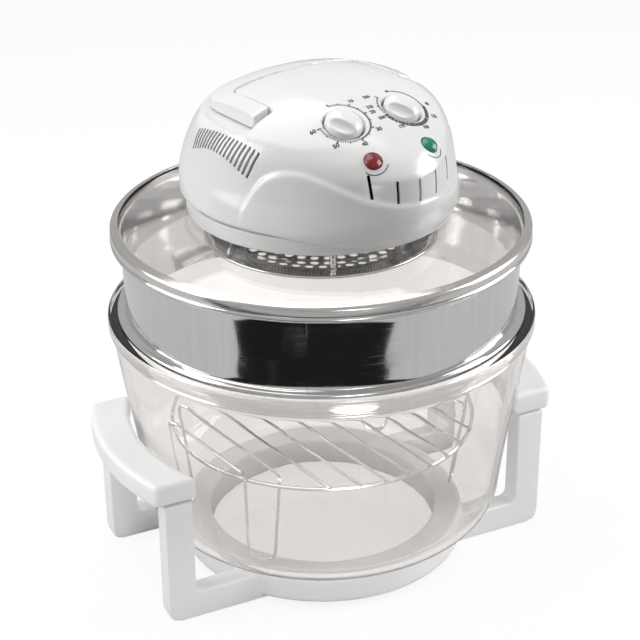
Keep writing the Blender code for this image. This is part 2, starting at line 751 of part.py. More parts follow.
def rack_loop(outer, inner, level):
    """Two neighbouring wires joined at both ends by a leg that stands on the bowl's floor."""
    foot = bowl_floor(RACK_FOOT_RADIUS) + GAP + RACK_WIRE
    corners = []
    for x, ends in ((outer, (1, -1)), (inner, (-1, 1))):
        for end in ends:
            on_ring = math.sqrt(RACK_RADIUS ** 2 - x ** 2) * end
            outside = Vector((x, on_ring, 0)).normalized() * (RACK_RADIUS + RACK_LEG_OFFSET)
            standing = Vector((x, on_ring, 0)).normalized() * RACK_FOOT_RADIUS
            stretch = [(x, on_ring - end * RACK_BEND, level), (outside.x, outside.y, level),
                       (standing.x, standing.y, foot)]
            if end == ends[0]:
                stretch = stretch[::-1]
            corners += stretch
    return rounded(corners, RACK_BEND, 2, True)


# Extension ring

def make_ring():
    steel = material("ring_steel", STEEL, 0.12, 1.0)
    body_top = RING_TOP - RING_ROLL_HEIGHT
    bead_top = RING_BEAD_BOTTOM + RING_BEAD_HEIGHT
    roll_round = RING_ROLL_HEIGHT / 3
    outer = [
        (RING_BODY_RADIUS, RING_TOP),
        (RING_ROLL_RADIUS - roll_round, RING_TOP),
        (RING_ROLL_RADIUS, RING_TOP - roll_round),
        (RING_ROLL_RADIUS, body_top + roll_round),
        (RING_ROLL_RADIUS - roll_round, body_top),
        (RING_BODY_RADIUS + RING_SHEET, body_top),
        (RING_BODY_RADIUS - RING_BODY_TAPER, bead_top + RING_BEAD_HEIGHT),
        (RING_BODY_RADIUS, bead_top),
        (RING_BEAD_RADIUS - RING_SHEET, bead_top),
        (RING_BEAD_RADIUS, (bead_top + RING_BEAD_BOTTOM) / 2),
        (RING_BEAD_RADIUS - RING_SHEET, RING_BEAD_BOTTOM),
        (RING_BODY_RADIUS, RING_BEAD_BOTTOM),
        (RING_BODY_RADIUS, RING_SKIRT_BOTTOM)]
    inner = RING_BODY_RADIUS - RING_SHEET - RING_BODY_TAPER
    profile = outer + [(inner, RING_SKIRT_BOTTOM), (inner, RING_TOP - roll_round),
                       (inner + RING_SHEET / 2, RING_TOP)]
    finish_part(bake(turned("extension_ring", profile)), steel)


# Lid glass, its band and the clamped plates

def lid_curve(underside=False):
    """The lid's face from its flat middle out to its edge."""
    flat = LID_FLAT_UNDERSIDE if underside else LID_FLAT_TOP
    drop = LID_FLAT_UNDERSIDE - LID_EDGE_UNDERSIDE
    points = []
    for step in range(LID_EDGE_POINTS + 1):
        share = step / LID_EDGE_POINTS
        points.append((LID_FLAT_RADIUS + (LID_RADIUS - LID_FLAT_RADIUS) * share, flat - drop * share ** 1.6))
    return points


def make_lid():
    glass = [(LID_BORE, LID_FLAT_TOP)] + lid_curve() + lid_curve(True)[::-1] + [(LID_BORE, LID_FLAT_UNDERSIDE)]
    finish_part(bake(turned("glass_lid", glass)), material("lid_glass", SMOKE, 0.05, 0.0, 0.9))
    inner = LID_RADIUS + GAP
    outer = inner + BAND_SHEET
    glass_top = LID_EDGE_UNDERSIDE + LID_GLASS
    rise = (LID_FLAT_UNDERSIDE - LID_EDGE_UNDERSIDE) * BAND_LIP / (LID_RADIUS - LID_FLAT_RADIUS) * 2
    top = glass_top + GAP + rise
    band = [
        (LID_RADIUS - BAND_LIP, top + BAND_SHEET),
        (outer - BAND_SHEET, glass_top + GAP + BAND_SHEET * 1.5),
        (outer, glass_top),
        (outer, BAND_BOTTOM),
        (LID_RADIUS - BAND_LIP, BAND_BOTTOM),
        (LID_RADIUS - BAND_LIP, BAND_BOTTOM + BAND_SHEET),
        (inner, BAND_BOTTOM + BAND_SHEET),
        (inner, glass_top + GAP),
        (LID_RADIUS - BAND_LIP, top)]
    finish_part(bake(turned("lid_rim_band", band)), material("band_steel", STEEL, 0.2, 1.0))
    gasket_top = GASKET_BOTTOM + GASKET_THICKNESS
    gasket = [(GASKET_INNER, gasket_top), (GASKET_OUTER, gasket_top),
              (GASKET_OUTER, GASKET_BOTTOM), (GASKET_INNER, GASKET_BOTTOM)]
    finish_part(bake(turned("head_gasket", gasket)), material("gasket_silicone", (0.5, 0.12, 0.08), 0.7))


def clamp_places():
    return list(upper_round(CLAMP_COUNT, CLAMP_RING, math.pi / CLAMP_COUNT))


def drill(item, name, places, radius, bottom, top, sides=SCREW_SIDES):
    bm = bmesh.new()
    for x, y in places:
        add_rod(bm, radius, bottom - OVERRUN, top + OVERRUN, x, y, sides)
    return boolean(item, mesh_object(name, bm, UPPER))


def make_plates():
    steel = material("plate_steel", STEEL, 0.35, 1.0)
    chassis = rod("chassis_plate", CHASSIS_RADIUS, CHASSIS_BOTTOM, CHASSIS_TOP, 0, 0, ROUND_STEPS, UPPER)
    drill(chassis, "chassis_shaft_hole", [(0, 0)], SHAFT_HOLE, CHASSIS_BOTTOM, CHASSIS_TOP, 24)
    drill(chassis, "chassis_bolt_holes", clamp_places(), CLAMP_BOLT + GAP, CHASSIS_BOTTOM, CHASSIS_TOP)
    drill(chassis, "chassis_boss_holes", boss_places(), BOSS_RADIUS + RUNNING_GAP, CHASSIS_BOTTOM, CHASSIS_TOP)
    finish_part(bake(chassis), steel)
    plate = rod("lower_plate", LOWER_PLATE_RADIUS, LOWER_PLATE_BOTTOM, LOWER_PLATE_TOP, 0, 0, ROUND_STEPS, UPPER)
    drill(plate, "plate_shaft_hole", [(0, 0)], SHAFT_HOLE, LOWER_PLATE_BOTTOM, LOWER_PLATE_TOP, 24)
    drill(plate, "plate_bolt_holes", clamp_places(), CLAMP_BOLT + GAP, LOWER_PLATE_BOTTOM, LOWER_PLATE_TOP)
    finish_part(bake(plate), steel)
    bolt_steel = material("clamp_screw_steel", STEEL, 0.3, 1.0)
    seat = GUARD_TOP - GUARD_SHEET - GAP
    sizes = (CLAMP_BOLT, CHASSIS_TOP + CLAMP_PAST - seat, CLAMP_HEAD, CLAMP_HEAD_HEIGHT)
    for number, where in enumerate(clamp_places(), 1):
        screw(f"clamp_screw_{number}", where, seat, 1, sizes, bolt_steel, UPPER)


# Head base

def boss_places():
    return [(BOSS_RING * math.sin(angle), -BOSS_RING * math.cos(angle)) for angle in BOSS_ANGLES]


def make_head_base():
    top = COLLAR_BOTTOM + COLLAR_HEIGHT
    outer = COLLAR_RADIUS
    inner = outer - COLLAR_WALL
    base = turned("head_base", [
        (inner, top + SPIGOT_HEIGHT),
        (inner, top),
        (outer - COLLAR_ROUND, top),
        (outer, top - COLLAR_ROUND),
        (outer, COLLAR_BOTTOM + COLLAR_ROUND),
        (outer - COLLAR_ROUND, COLLAR_BOTTOM),
        (LID_BORE, COLLAR_BOTTOM),
        (LID_BORE, FLOOR_TOP),
        (inner - COLLAR_WALL, FLOOR_TOP),
        (inner - COLLAR_WALL, top + SPIGOT_HEIGHT)], matrix=UPPER)
    drill(base, "base_screw_holes", boss_places(), COVER_SCREW_RADIUS + GAP, COLLAR_BOTTOM, FLOOR_TOP)
    drill(base, "base_head_pockets", boss_places(), COVER_SCREW_HEAD + GAP,
          COLLAR_BOTTOM, COLLAR_BOTTOM + COVER_SCREW_SEAT - OVERRUN)
    finish_part(bake(base), material("collar_plastic", WHITE, 0.3))
    steel = material("cover_screw_steel", STEEL, 0.3, 1.0)
    seat = COLLAR_BOTTOM + COVER_SCREW_SEAT - GAP
    sizes = (COVER_SCREW_RADIUS, COVER_SCREW_LENGTH, COVER_SCREW_HEAD, COVER_SCREW_HEAD_HEIGHT)
    for number, where in enumerate(boss_places(), 1):
        screw(f"cover_screw_{number}", where, seat, 1, sizes, steel, UPPER)


# Heater guard, lamp and holders

def make_guard():
    floor_top = GUARD_FLOOR + GUARD_SHEET
    drum = GUARD_DRUM_RADIUS
    guard = turned("heater_guard", [
        (drum, GUARD_TOP),
        (drum, floor_top),
        (GUARD_RADIUS - GUARD_LIP, floor_top),
        (GUARD_RADIUS - GUARD_SHEET, floor_top + GUARD_LIP / 2),
        (GUARD_RADIUS, floor_top + GUARD_LIP / 3),
        (GUARD_RADIUS, GUARD_FLOOR - GUARD_SHEET / 2),
        (GUARD_RADIUS - GUARD_SHEET, GUARD_FLOOR - GUARD_SHEET),
        (GUARD_RADIUS - GUARD_LIP, GUARD_FLOOR),
        (0.0, GUARD_FLOOR),
        (0.0, floor_top),
        (drum - GUARD_SHEET, floor_top),
        (drum - GUARD_SHEET, GUARD_TOP - GUARD_SHEET),
        (GUARD_FLANGE_INNER, GUARD_TOP - GUARD_SHEET),
        (GUARD_FLANGE_INNER, GUARD_TOP)], matrix=UPPER)
    bm = bmesh.new()
    for radius, count in GUARD_FLOOR_RINGS:
        for x, y in upper_round(count, radius, GUARD_FIRST_HOLE):
            add_rod(bm, GUARD_HOLE, GUARD_FLOOR - OVERRUN, floor_top + OVERRUN, x, y, GUARD_HOLE_SIDES)
    boolean(guard, mesh_object("guard_floor_holes", bm, UPPER))
    bm = bmesh.new()
    middle = (GUARD_TOP + floor_top) / 2
    for index in range(GUARD_WALL_HOLES):
        turn = Matrix.Rotation(GUARD_FIRST_HOLE + math.tau * index / GUARD_WALL_HOLES, 4, "Z")
        across = turn @ Matrix.Translation((0, 0, middle)) @ Matrix.Rotation(math.pi / 2, 4, "Y")
        add_rod(bm, GUARD_HOLE, drum - GUARD_SHEET - OVERRUN, drum + OVERRUN, 0, 0, GUARD_HOLE_SIDES, across)
    boolean(guard, mesh_object("guard_wall_holes", bm, UPPER))
    drill(guard, "guard_flange_holes", clamp_places(), CLAMP_BOLT + GAP, GUARD_TOP - GUARD_SHEET, GUARD_TOP)
    finish_part(bake(guard), material("guard_chrome", STEEL, 0.15, 1.0))


def make_lamp():
    start = math.pi / 2 + LAMP_OPENING / 2
    sweep = math.tau - LAMP_OPENING
    path = []
    for step in range(LAMP_POINTS):
        angle = start + sweep * step / (LAMP_POINTS - 1)
        path.append((LAMP_RING_RADIUS * math.cos(angle), LAMP_RING_RADIUS * math.sin(angle), LAMP_HEIGHT))
    lamp = wire("halogen_lamp", [path], LAMP_TUBE, False, 1, UPPER)
    finish_part(lamp, material("lamp_quartz", (0.95, 0.9, 0.82), 0.05, 0.0, 0.8), False)
    top = LOWER_PLATE_BOTTOM - GAP
    bottom = LAMP_HEIGHT - LAMP_TUBE - HOLDER_DEPTH / 4
    for name, side in (("lamp_holder_left", -1), ("lamp_holder_right", 1)):
        end = LAMP_OPENING / 2 - (HOLDER_WIDTH / 2 + 2 * GAP) / (LAMP_RING_RADIUS - HOLDER_DEPTH / 2)
        frame = UPPER @ Matrix.Rotation(-side * end, 4, "Z")
        holder = box(name, (-HOLDER_WIDTH / 2, LAMP_RING_RADIUS - HOLDER_DEPTH / 2, bottom),
                     (HOLDER_WIDTH / 2, LAMP_RING_RADIUS + HOLDER_DEPTH / 2, top), frame)
        bevel(holder, HOLDER_DEPTH / 12, 1)
        finish_part(bake(holder), material(name + "_ceramic", (0.9, 0.88, 0.82), 0.6))


# Motor and its turning parts

def make_motor():
    core_top = MOTOR_BOTTOM + MOTOR_STACK
    steel = material("core_steel", (0.35, 0.35, 0.37), 0.4, 1.0)
    core = box("motor_core", (-MOTOR_HALF_WIDTH, -MOTOR_REAR, MOTOR_BOTTOM),
               (MOTOR_HALF_WIDTH, MOTOR_REACH, core_top), UPPER)
    window_end = MOTOR_REACH - MOTOR_LEG
    boolean(core, box("motor_window", (-MOTOR_WINDOW_HALF, MOTOR_WINDOW_START, MOTOR_BOTTOM - OVERRUN),
                      (MOTOR_WINDOW_HALF, window_end, core_top + OVERRUN), UPPER))
    boolean(core, rod("rotor_bore", ROTOR_RADIUS + RUNNING_GAP, MOTOR_BOTTOM - OVERRUN, core_top + OVERRUN,
                      0, 0, 24, UPPER))
    finish_part(bake(core), steel, False)
    coil = box("motor_coil", (-MOTOR_WINDOW_HALF + GAP, MOTOR_WINDOW_START + GAP, MOTOR_BOTTOM - COIL_OVERHANG),
               (MOTOR_WINDOW_HALF - GAP, MOTOR_REACH + COIL_OVERHANG, core_top + COIL_OVERHANG), UPPER)
    bevel(coil, COIL_OVERHANG / 3, 2)
    bake(coil)
    boolean(coil, box("coil_hole", (-MOTOR_HALF_WIDTH, window_end - GAP, MOTOR_BOTTOM - GAP),
                      (MOTOR_HALF_WIDTH, MOTOR_REACH + GAP, core_top + GAP), UPPER))
    finish_part(bake(coil), material("coil_copper", (0.72, 0.35, 0.12), 0.4, 0.6))
    strap_steel = material("strap_steel", STEEL, 0.35, 1.0)
    make_strap("bearing_strap_upper", core_top + GAP, 1, strap_steel)
    make_strap("bearing_strap_lower", MOTOR_BOTTOM - GAP, -1, strap_steel)
    post_steel = material("post_steel", STEEL, 0.35, 1.0)
    x, y = MOTOR_POST_PLACE
    for number, (side, end) in enumerate(((-1, -1), (1, -1), (-1, 1), (1, 1)), 1):
        post = rod(f"motor_post_{number}", MOTOR_POST_RADIUS, CHASSIS_TOP + GAP, MOTOR_BOTTOM - GAP,
                   side * x, end * y, 12, UPPER)
        finish_part(post, post_steel)


def make_strap(name, level, direction, finish):
    heights = sorted((level, level + direction * STRAP_SHEET))
    strap = box(name, (-STRAP_HALF_LENGTH, -STRAP_HALF_WIDTH, heights[0]),
                (STRAP_HALF_LENGTH, STRAP_HALF_WIDTH, heights[1]), UPPER)
    boss = sorted((level + direction * STRAP_SHEET / 2, level + direction * (STRAP_SHEET + STRAP_BOSS_HEIGHT)))
    boolean(strap, rod(name + "_boss", STRAP_BOSS, boss[0], boss[1], 0, 0, 20, UPPER), "UNION")
    boolean(strap, rod(name + "_bore", SHAFT_RADIUS + GAP, boss[0] - OVERRUN, boss[1] + OVERRUN, 0, 0, 20, UPPER))
    finish_part(bake(strap), finish)


def fan(name, radius, disc_low, blades_down, finish, bore):
    """A flat disc with leaning blades on one side and a hub, bored for the shaft."""
    disc = rod(name, radius, disc_low, disc_low + FAN_DISC, 0, 0, 36, UPPER)
    blades = bmesh.new()
    if blades_down:
        low, high = disc_low - FAN_BLADE_HEIGHT, disc_low + FAN_DISC / 2
    else:
        low, high = disc_low + FAN_DISC / 2, disc_low + FAN_DISC + FAN_BLADE_HEIGHT / 2
    for index in range(FAN_BLADES):
        turn = Matrix.Rotation(math.tau * index / FAN_BLADES, 4, "Z")
        lean = turn @ Matrix.Translation((radius * 0.62, 0, 0)) @ Matrix.Rotation(FAN_BLADE_LEAN, 4, "Z")
        add_box(blades, (-radius * 0.34, -FAN_BLADE_SHEET / 2, low), (radius * 0.34, FAN_BLADE_SHEET / 2, high), lean)
    boolean(disc, mesh_object(name + "_blades", blades, UPPER), "UNION")
    boolean(disc, rod(name + "_hub", FAN_HUB, low, high, 0, 0, 20, UPPER), "UNION")
    boolean(disc, rod(name + "_bore", bore, low - OVERRUN, high + OVERRUN, 0, 0, BORE_SIDES, UPPER))
    finish_part(bake(disc), finish)
    return low, high


def make_rotor():
    aluminium = material("fan_aluminium", (0.75, 0.75, 0.76), 0.35, 1.0)
    bore = SHAFT_RADIUS + GAP
    low, high = fan("convection_fan", FAN_RADIUS, LOWER_PLATE_BOTTOM - FAN_UNDER_PLATE - FAN_DISC,
                    True, aluminium, bore)
    cooling_low = MOTOR_BOTTOM + MOTOR_STACK + STRAP_SHEET + STRAP_BOSS_HEIGHT + COOLING_FAN_ABOVE
    cooling = fan("cooling_fan", COOLING_FAN_RADIUS, cooling_low, False, aluminium, bore)
    shaft = rod("rotor_shaft", SHAFT_RADIUS, low - SHAFT_BELOW_FAN, cooling[1] + SHAFT_BELOW_FAN, 0, 0,
                BORE_SIDES, UPPER)
    boolean(shaft, rod("rotor_core", ROTOR_RADIUS, MOTOR_BOTTOM, MOTOR_BOTTOM + MOTOR_STACK, 0, 0, 24, UPPER),
            "UNION")
    finish_part(bake(shaft), material("shaft_steel", STEEL, 0.25, 1.0))


# Head cover

def cubic(value, xs, ys):
    """A smooth curve through the given values, without overshoot."""
    xs = np.asarray(xs, float)
    ys = np.asarray(ys, float)
    steps = np.diff(xs)
    slopes = np.diff(ys) / steps
    tangents = np.zeros_like(ys)
    tangents[0], tangents[-1] = slopes[0], slopes[-1]
    for index in range(1, len(xs) - 1):
        if slopes[index - 1] * slopes[index] > 0:
            tangents[index] = 2 / (1 / slopes[index - 1] + 1 / slopes[index])
    value = min(max(value, xs[0]), xs[-1])
    index = min(int(np.searchsorted(xs, value, side="right")) - 1, len(steps) - 1)
    t = (value - xs[index]) / steps[index]
    start = (1 + 2 * t) * (1 - t) ** 2 * ys[index] + t * (1 - t) ** 2 * steps[index] * tangents[index]
    end = t ** 2 * (3 - 2 * t) * ys[index + 1] + t ** 2 * (t - 1) * steps[index] * tangents[index + 1]
    return float(start + end)


SECTION_COLUMNS = list(zip(*HEAD_SECTION_SHARES))


def head_reaches(height):
    """Side, front and rear reach of the head, and its squareness, at a height."""
    share = (height - HEAD_BOTTOM) / HEAD_HEIGHT
    levels = SECTION_COLUMNS[0]
    reaches = []
    for column, size in zip(SECTION_COLUMNS[1:4], (HEAD_HALF_WIDTH, HEAD_FRONT_REACH, HEAD_REAR_REACH)):
        squared = cubic(share, levels, [part ** 2 for part in column])
        reaches.append(size * math.sqrt(max(squared, 0.0)))
    return (*reaches, cubic(share, levels, SECTION_COLUMNS[4]), cubic(share, levels, SECTION_COLUMNS[5]))


def chin_height(angle):
    share = abs(angle) / math.pi
    return HEAD_BOTTOM + HEAD_HEIGHT * cubic(share, *zip(*CHIN_SHARES))


def hem_height(angle):
    share = abs(angle) / math.pi
    return HEAD_BOTTOM + HEAD_HEIGHT * cubic(share, *zip(*HEM_SHARES))


def head_point(angle, height, chin=0.0):
    """A point of the head's outside: the angle runs from the front, towards the right side."""
    side, front, rear, front_square, rear_square = head_reaches(height)
    across, along = math.sin(angle), math.cos(angle)
    power = front_square if along > 0 else rear_square
    reach = front if along > 0 else rear
    x = side * math.copysign(abs(across) ** (2 / power), across)
    y = -reach * math.copysign(abs(along) ** (2 / power), along)
    length = math.hypot(x, y)
    if length < MERGE:
        return Vector((0.0, 0.0, height))
    grow = (length + chin) / length
    return Vector((x * grow, y * grow, height))


def shell_point(angle, height, inset, chin=0.0):
    """The same point moved inwards, square to the head's outside."""
    point = head_point(angle, height, chin)
    if inset == 0.0:
        return point
    turn, rise = PROBE_TURN, PROBE_RISE
    below = min(height, HEAD_TOP - rise)
    along = head_point(angle + turn, below, chin) - head_point(angle - turn, below, chin)
    up = head_point(angle, below + rise, chin) - head_point(angle, below - rise, chin)
    return point - along.cross(up).normalized() * inset


def chin_swell(angle):
    share = abs(angle) / math.pi
    return CHIN_PROUD * max(0.0, min(1.0, (CHIN_END_SHARE - share) / 0.05))


def head_form(name, inset=0.0):
    """The head as one closed form, or its hollow when inset, with rows that follow the chin's edge."""
    bm = bmesh.new()
    angles = [-math.pi + math.tau * column / HEAD_COLUMNS for column in range(HEAD_COLUMNS)]
    rings = []
    for row in range(HEAD_LOW_ROWS + 1):
        ring = []
        for angle in angles:
            low = hem_height(angle)
            height = low + (chin_height(angle) - low) * row / HEAD_LOW_ROWS
            ring.append(shell_point(angle, height, inset, chin_swell(angle)))
        rings.append(ring)
    if inset:
        rings.insert(0, [Vector((point.x, point.y, HEAD_BOTTOM - OVERRUN)) for point in rings[0]])
    for row in range(1, HEAD_HIGH_ROWS):
        ring = []
        for angle in angles:
            edge = chin_height(angle) + CHIN_PROUD / 2
            share = math.sin(math.pi / 2 * (row - 1) / (HEAD_HIGH_ROWS - 1))
            ring.append(shell_point(angle, edge + (HEAD_TOP - edge) * share, inset))
        rings.append(ring)
    made = [[bm.verts.new(point) for point in ring] for ring in rings]
    for lower, upper in zip(made, made[1:]):
        for column in range(HEAD_COLUMNS):
            after = (column + 1) % HEAD_COLUMNS
            bm.faces.new((lower[column], lower[after], upper[after], upper[column]))
    crown = bm.verts.new((0.0, 0.0, HEAD_TOP - inset))
    foot = bm.verts.new((0.0, 0.0, HEAD_BOTTOM - OVERRUN if inset else HEAD_BOTTOM))
    for column in range(HEAD_COLUMNS):
        after = (column + 1) % HEAD_COLUMNS
        bm.faces.new((made[-1][column], made[-1][after], crown))
        bm.faces.new((made[0][after], made[0][column], foot))
    bmesh.ops.recalc_face_normals(bm, faces=bm.faces)
    return mesh_object(name, bm, UPPER)


def shelf_cutter(name, inset=0.0):
    """All above the handle's shelf and behind its front wall, outside the platform."""
    reach = HEAD_HALF_WIDTH + HEAD_REAR_REACH
    low = SHELF_HEIGHT - inset
    around = box(name, (-reach, -SHELF_FRONT - inset, low), (reach, reach, HEAD_TOP + OVERRUN), UPPER)
    half = PLATFORM_HALF_WIDTH - inset
    rear = PLATFORM_REAR - inset
    front = -SHELF_FRONT - inset - OVERRUN
    outline = flat_rounded([(-half, front), (half, front), (half, rear), (-half, rear)], PLATFORM_CORNER)
    platform = outline_solid(name + "_platform", outline, HEAD_TOP - low + 3 * OVERRUN,
                             UPPER @ Matrix.Translation((0, 0, low - OVERRUN)))
    boolean(platform, swing_room(name + "_swing", low, rear), "INTERSECT")
    boolean(around, bake(platform))
    return bake(around)


def swing_room(name, low, rear):
    """The side view the platform keeps to, whose rear leans in above the pivot so that the handle swings past it."""
    radius = rear + HANDLE_PIVOT_FRONT + SWING_ALLOWANCE
    top = HEAD_TOP + 4 * OVERRUN
    leaning = [(math.sqrt(radius ** 2 - rise ** 2) - HANDLE_PIVOT_FRONT, PIVOT_HEIGHT + rise)
               for rise in (0.0, 0.004, 0.008, 0.012, 0.016, top - PIVOT_HEIGHT)]
    side_view = [(-HEAD_FRONT_REACH, low - 2 * OVERRUN), (leaning[0][0], low - 2 * OVERRUN), *leaning,
                 (-HEAD_FRONT_REACH, top)]
    return outline_solid(name, side_view, 2 * HEAD_HALF_WIDTH, across_head(HEAD_HALF_WIDTH))


def across_head(half):
    """A frame for side views, with X to the rear and Y up, whose thickness runs across the head."""
    return UPPER @ Matrix.Translation((-half, 0, 0)) @ Matrix(((0, 0, 1, 0), (1, 0, 0, 0), (0, 1, 0, 0), (0, 0, 0, 1)))


def panel_height(side, front):
    """Height of the head's outside over a place of the panel."""
    low, high = HEAD_BOTTOM + HEAD_HEIGHT / 2, HEAD_TOP
    for _ in range(40):
        middle = (low + high) / 2
        width, reach, _, square, _ = head_reaches(middle)
        inside = abs(side / max(width, MERGE)) ** square + abs(front / max(reach, MERGE)) ** square < 1
        low, high = (middle, high) if inside else (low, middle)
    return (low + high) / 2


def knob_frame(side):
    return tilted(side * KNOB_SIDE, KNOB_FRONT, panel_height(KNOB_SIDE, KNOB_FRONT), PANEL_TILT)


def lens_frame(side):
    return tilted(side * LENS_SIDE, LENS_FRONT, panel_height(LENS_SIDE, LENS_FRONT), LENS_TILT)


def radial(angle):
    """A frame whose X points outwards at the angle from the front."""
    return Matrix.Rotation(angle - math.pi / 2, 4, "Z")


def slot_cutters():
    bm = bmesh.new()
    for angle in FRONT_SLOT_ANGLES:
        bottom = chin_height(angle) + FRONT_SLOT_LIFT
        reach = math.hypot(*head_point(angle, bottom).xy)
        add_box(bm, (reach - SLOT_REACH, -FRONT_SLOT_WIDTH / 2, bottom),
                (reach + SLOT_REACH, FRONT_SLOT_WIDTH / 2, bottom + FRONT_SLOT_HEIGHT), radial(angle))
    for side in (1, -1):
        for index in range(VENT_COUNT):
            angle = side * (VENT_START + (VENT_END - VENT_START) * index / (VENT_COUNT - 1))
            reach = math.hypot(*head_point(angle, VENT_TOP).xy)
            add_box(bm, (reach - SLOT_REACH, -VENT_WIDTH / 2, VENT_BOTTOM),
                    (reach + 2 * SLOT_REACH, VENT_WIDTH / 2, VENT_TOP), radial(angle))
    return mesh_object("head_slots", bm, UPPER)


def make_cover():
    cover = head_form("head_cover")
    boolean(cover, shelf_cutter("shelf_outer"))
    hollow = head_form("head_hollow", HEAD_WALL)
    boolean(hollow, shelf_cutter("shelf_inner", HEAD_WALL))
    bosses = bmesh.new()
    for x, y in boss_places():
        add_rod(bosses, BOSS_RADIUS, FLOOR_TOP + GAP - OVERRUN, HEAD_TOP, x, y, 16)
    boolean(hollow, mesh_object("boss_room", bosses, UPPER))
    cups = bmesh.new()
    for side in (1, -1):
        add_rod(cups, WELL_RADIUS + WELL_WALL, -WELL_DEPTH - WELL_FLOOR, OVERRUN, 0, 0, 28, knob_frame(side))
    boolean(hollow, mesh_object("cup_room", cups))
    boolean(cover, bake(hollow))
    inner_disc = turned("trim_disc", [(0.0, FLOOR_TOP + GAP), (COLLAR_RADIUS - COLLAR_WALL, FLOOR_TOP + GAP),
                                      (COLLAR_RADIUS - COLLAR_WALL, HEAD_BOTTOM - 3 * OVERRUN),
                                      (0.0, HEAD_BOTTOM - 3 * OVERRUN)])
    boolean(cover, bake(inner_disc))
    wells = bmesh.new()
    holes = bmesh.new()
    for side in (1, -1):
        add_rod(wells, WELL_RADIUS, -WELL_DEPTH, 4 * OVERRUN, 0, 0, 28, knob_frame(side))
        add_rod(holes, KNOB_SHAFT_RADIUS + RUNNING_GAP, -WELL_DEPTH - WELL_FLOOR - OVERRUN,
                -WELL_DEPTH + OVERRUN, 0, 0, BORE_SIDES, knob_frame(side))
        add_rod(holes, LENS_RADIUS + GAP, -LENS_DEPTH - 3 * OVERRUN, 3 * OVERRUN, 0, 0, 20, lens_frame(side))
    boolean(cover, mesh_object("knob_wells", wells))
    boolean(cover, mesh_object("panel_holes", holes))
    boolean(cover, slot_cutters())
    screw_room = bmesh.new()
    for x, y in boss_places():
        add_rod(screw_room, COVER_SCREW_RADIUS + GAP, HEAD_BOTTOM, FLOOR_TOP + COVER_SCREW_LENGTH, x, y, 12)
    boolean(cover, mesh_object("boss_screw_room", screw_room, UPPER))
    pins = bmesh.new()
    for side in (1, -1):
        add_rod(pins, PIN_RADIUS + GAP, PLATFORM_HALF_WIDTH - HEAD_WALL - OVERRUN,
                PLATFORM_HALF_WIDTH + OVERRUN, 0, 0, BORE_SIDES, pin_frame(side))
    boolean(cover, mesh_object("pin_holes", pins, UPPER))
    boolean(cover, rod("plunger_hole", PLUNGER_RADIUS + GAP, SHELF_HEIGHT - HEAD_WALL - OVERRUN,
                       SHELF_HEIGHT + OVERRUN, -SWITCH_SIDE, -SWITCH_FRONT, 12, UPPER))
    width, height, _ = INLET_SIZE
    boolean(cover, box("inlet_hole", (-width / 2 - GAP, HEAD_REAR_REACH / 2, INLET_HEIGHT - height / 2 - GAP),
                       (width / 2 + GAP, HEAD_REAR_REACH + SLOT_REACH, INLET_HEIGHT + height / 2 + GAP), UPPER))
    finish_part(bake(cover), material("cover_plastic", WHITE, 0.2))


# Knobs, control units and indicator lamps

def make_knob(name, side, unit_name):
    frame = knob_frame(side)
    bottom = -WELL_DEPTH + KNOB_LIFT
    brow = KNOB_PROUD - KNOB_TOP_ROUND
    knob = turned(name, [
        (0.0, KNOB_PROUD),
        (KNOB_RADIUS * 0.45, KNOB_PROUD - KNOB_TOP_ROUND * 0.12),
        (KNOB_RADIUS * 0.75, KNOB_PROUD - KNOB_TOP_ROUND * 0.45),
        (KNOB_RADIUS * 0.93, brow),
        (KNOB_RADIUS, brow - KNOB_TOP_ROUND),
        (KNOB_RADIUS, bottom),
        (0.0, bottom)], steps=28, matrix=frame)
    bake(knob)
    for way in (1, -1):
        centre = way * (KNOB_WEB + KNOB_SCOOP_RADIUS)
        scoop = rod(f"{name}_scoop_{way}", KNOB_SCOOP_RADIUS, -KNOB_RADIUS - OVERRUN, KNOB_RADIUS + OVERRUN,
                    0, 0, 28)
        level = KNOB_PROUD + KNOB_SCOOP_RADIUS - KNOB_SCOOP_DEPTH
        scoop.matrix_world = frame @ Matrix.Translation((centre, 0, level)) @ Matrix.Rotation(math.pi / 2, 4, "X")
        boolean(knob, scoop)
    finish_part(bake(knob), material(name + "_plastic", WHITE, 0.25))
    shaft_top = bottom - GAP
    shaft = rod(name.replace("knob", "shaft"), KNOB_SHAFT_RADIUS, shaft_top - KNOB_SHAFT_LENGTH, shaft_top,
                0, 0, BORE_SIDES, frame)
    finish_part(shaft, material(name + "_shaft_steel", STEEL, 0.3, 1.0))
    unit_top = -WELL_DEPTH - WELL_FLOOR - GAP
    unit = rod(unit_name, UNIT_RADIUS, unit_top - UNIT_DEPTH, unit_top, 0, 0, 24, frame)
    boolean(unit, rod(unit_name + "_bore", KNOB_SHAFT_RADIUS + RUNNING_GAP, unit_top - UNIT_BORE_DEPTH,
                      unit_top + OVERRUN, 0, 0, BORE_SIDES, frame))
    finish_part(bake(unit), material(unit_name + "_case", (0.55, 0.55, 0.5), 0.5, 0.3))


def make_lens(name, side, color):
    frame = lens_frame(side)
    lens = turned(name, [
        (0.0, LENS_PROUD),
        (LENS_RADIUS * 0.5, LENS_PROUD * 0.85),
        (LENS_RADIUS * 0.85, LENS_PROUD * 0.45),
        (LENS_RADIUS, 0.0),
        (LENS_RADIUS, -LENS_DEPTH),
        (0.0, -LENS_DEPTH)], steps=20, matrix=frame)
    finish_part(bake(lens), material(name + "_plastic", color, 0.15, 0.0, 0.3))


